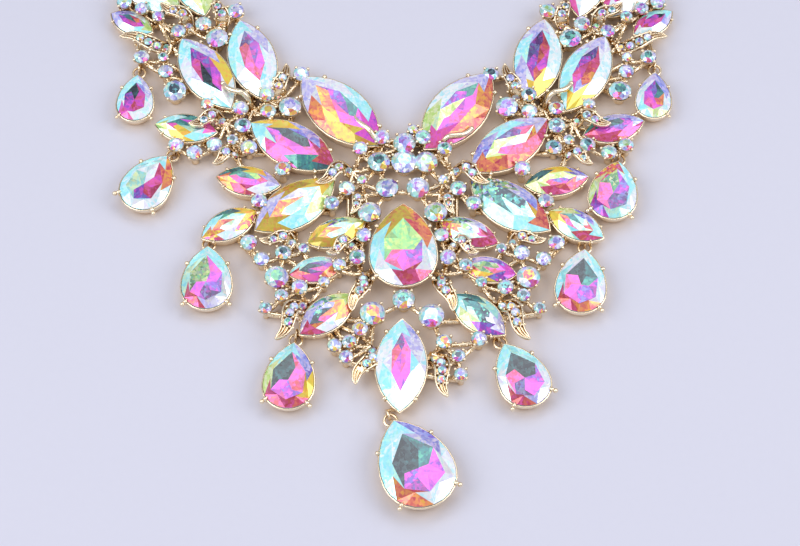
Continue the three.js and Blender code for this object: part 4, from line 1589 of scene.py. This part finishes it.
class NECKLACE_OT_jump_rings(bpy.types.Operator):
    """Bends the drops' jump rings"""

    bl_idname = "necklace.jump_rings"
    bl_label = "Jump rings"

    def execute(self, context):
        for node in DROP_NODES:
            ring = node.replace("_stone", "_jump_ring")
            low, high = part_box(ring)
            place = Matrix.Translation((low + high) / 2 / MM)
            shape = Shape()
            wire_loop(shape, ring_path(RING_RADIUS), place, RING_WIRE)
            gold_piece(context, f"{ring}_wire", shape, [ring])
        return {"FINISHED"}


class NECKLACE_OT_chains(bpy.types.Operator):
    """Links the two chains and the clasp behind the neck"""

    bl_idname = "necklace.chains"
    bl_label = "Chains and clasp"

    def execute(self, context):
        loop = loop_sizes()
        link = oval_path(loop.length, LINK_WIDTH, LINK_WIRE)
        for name, start in (("right_chain", loop.half), ("left_chain", loop.left_at)):
            shape = Shape()
            for i in range(LINK_COUNT):
                wire_loop(shape, link, on_loop(start + i * loop.pitch, 1 if i % 2 else -1), LINK_WIRE)
            gold_piece(context, f"{name}_links", shape, [name])
        shape = Shape()
        wire_loop(shape, oval_path(CLASP_LENGTH, CLASP_WIDTH, CLASP_WIRE), on_loop(loop.clasp_at, 1), CLASP_WIRE)
        wire_loop(shape, ring_path(END_EYE_RADIUS), on_loop(loop.eye_at, -1), END_EYE_WIRE)
        gold_piece(context, "clasp_wire", shape, ["clasp"])
        shape = Shape()
        for distance, side in ((0, 1), (math.pi * loop.radius, -1)):
            place = on_loop(distance, side)
            wire_loop(shape, ring_path(END_EYE_RADIUS), place, END_EYE_WIRE)
            end = place.translation
            last = from_tables(*lean(math.copysign(LAST_ROUND.x, end.x), LAST_ROUND.y))
            foot = Vector((end.x, end.y - END_EYE_RADIUS, end.z))
            tube(shape, [foot, Vector((last.x, last.y, END_EYE_STEM_HEIGHT))], END_EYE_STEM, 10)
        gold_piece(context, "arm_end_eyes", shape, ["bib_casting"])
        return {"FINISHED"}


# The camera: what it looks at and from how far, in millimetres, its height in degrees and its lens
TARGET = Vector((-0.886, -8.17, 5.0))
DISTANCE = 750
ELEVATION = 62
LENS = 125.55
FLOOR_REACH = 3.0  # metres
AIR_LIGHT = 0.62
AIR_COLOUR = "#e4e4ee"
# Soft boxes: place and size in millimetres, power in watts
SOFT_BOXES = [
    ((-420, -160, 520), 480, 2.0),
    ((460, -60, 480), 420, 1.55),
    ((0, -520, 420), 420, 0.2),
    ((60, 260, 700), 380, 1.0),
]


class NECKLACE_OT_stage(bpy.types.Operator):
    """Sets the floor, the soft lights and the camera"""

    bl_idname = "necklace.stage"
    bl_label = "Studio"

    def execute(self, context):
        scene = context.scene
        mesh = bpy.data.meshes.new("floor")
        corners = [(-1, -1), (1, -1), (1, 1), (-1, 1)]
        mesh.from_pydata([(FLOOR_REACH * x, FLOOR_REACH * y, 0) for x, y in corners], [], [(0, 1, 2, 3)])
        mesh.materials.append(floor_material(context))
        floor = bpy.data.objects.new("floor", mesh)
        scene.collection.objects.link(floor)
        world = bpy.data.worlds.new("studio")
        scene.world = world
        world.use_nodes = True
        background = world.node_tree.nodes["Background"]
        background.inputs["Color"].default_value = srgb(AIR_COLOUR)
        background.inputs["Strength"].default_value = AIR_LIGHT
        for index, (place, size, power) in enumerate(SOFT_BOXES):
            light = bpy.data.lights.new(f"soft_box_{index}", "AREA")
            light.energy = power
            light.size = size * MM
            lamp = bpy.data.objects.new(f"soft_box_{index}", light)
            lamp.location = Vector(place) * MM
            lamp.rotation_euler = (TARGET * MM - lamp.location).to_track_quat("-Z", "Y").to_euler()
            scene.collection.objects.link(lamp)
        camera = bpy.data.objects.new("camera", bpy.data.cameras.new("camera"))
        camera.data.lens = LENS
        camera.data.clip_start = 0.01
        back = Vector((0, -math.cos(rad(ELEVATION)), math.sin(rad(ELEVATION))))
        camera.location = (TARGET + back * DISTANCE) * MM
        camera.rotation_euler = (-back).to_track_quat("-Z", "Y").to_euler()
        scene.collection.objects.link(camera)
        scene.camera = camera
        scene.view_settings.view_transform = "Standard"
        return {"FINISHED"}


OPERATORS = [
    NECKLACE_OT_main_stones,
    NECKLACE_OT_drop_stones,
    NECKLACE_OT_round_stones,
    NECKLACE_OT_cups,
    NECKLACE_OT_round_settings,
    NECKLACE_OT_branches,
    NECKLACE_OT_leaves,
    NECKLACE_OT_leaf_stones,
    NECKLACE_OT_drop_settings,
    NECKLACE_OT_jump_rings,
    NECKLACE_OT_chains,
    NECKLACE_OT_stage,
]


class NECKLACE_PT_panel(bpy.types.Panel):
    """Lists the pieces of the necklace"""

    bl_label = "Bib necklace"
    bl_idname = "NECKLACE_PT_panel"
    bl_space_type = "VIEW_3D"
    bl_region_type = "UI"
    bl_category = "Necklace"

    def draw(self, context):
        layout = self.layout
        for group in (context.scene.necklace_sizes, context.scene.necklace_colours):
            for name in group.bl_rna.properties.keys():
                if name not in ("rna_type", "name"):
                    layout.prop(group, name)
        for operator in OPERATORS:
            layout.operator(operator.bl_idname)


CLASSES = [NecklaceSizes, NecklaceColours, *OPERATORS, NECKLACE_PT_panel]


def register():
    for cls in CLASSES:
        bpy.utils.register_class(cls)
    bpy.types.Scene.necklace_sizes = bpy.props.PointerProperty(type=NecklaceSizes)
    bpy.types.Scene.necklace_colours = bpy.props.PointerProperty(type=NecklaceColours)


def unregister():
    del bpy.types.Scene.necklace_colours
    del bpy.types.Scene.necklace_sizes
    for cls in reversed(CLASSES):
        bpy.utils.unregister_class(cls)


def main():
    register()
    for operator in OPERATORS:
        getattr(bpy.ops.necklace, operator.bl_idname.split(".")[1])()


if __name__ == "__main__":
    main()
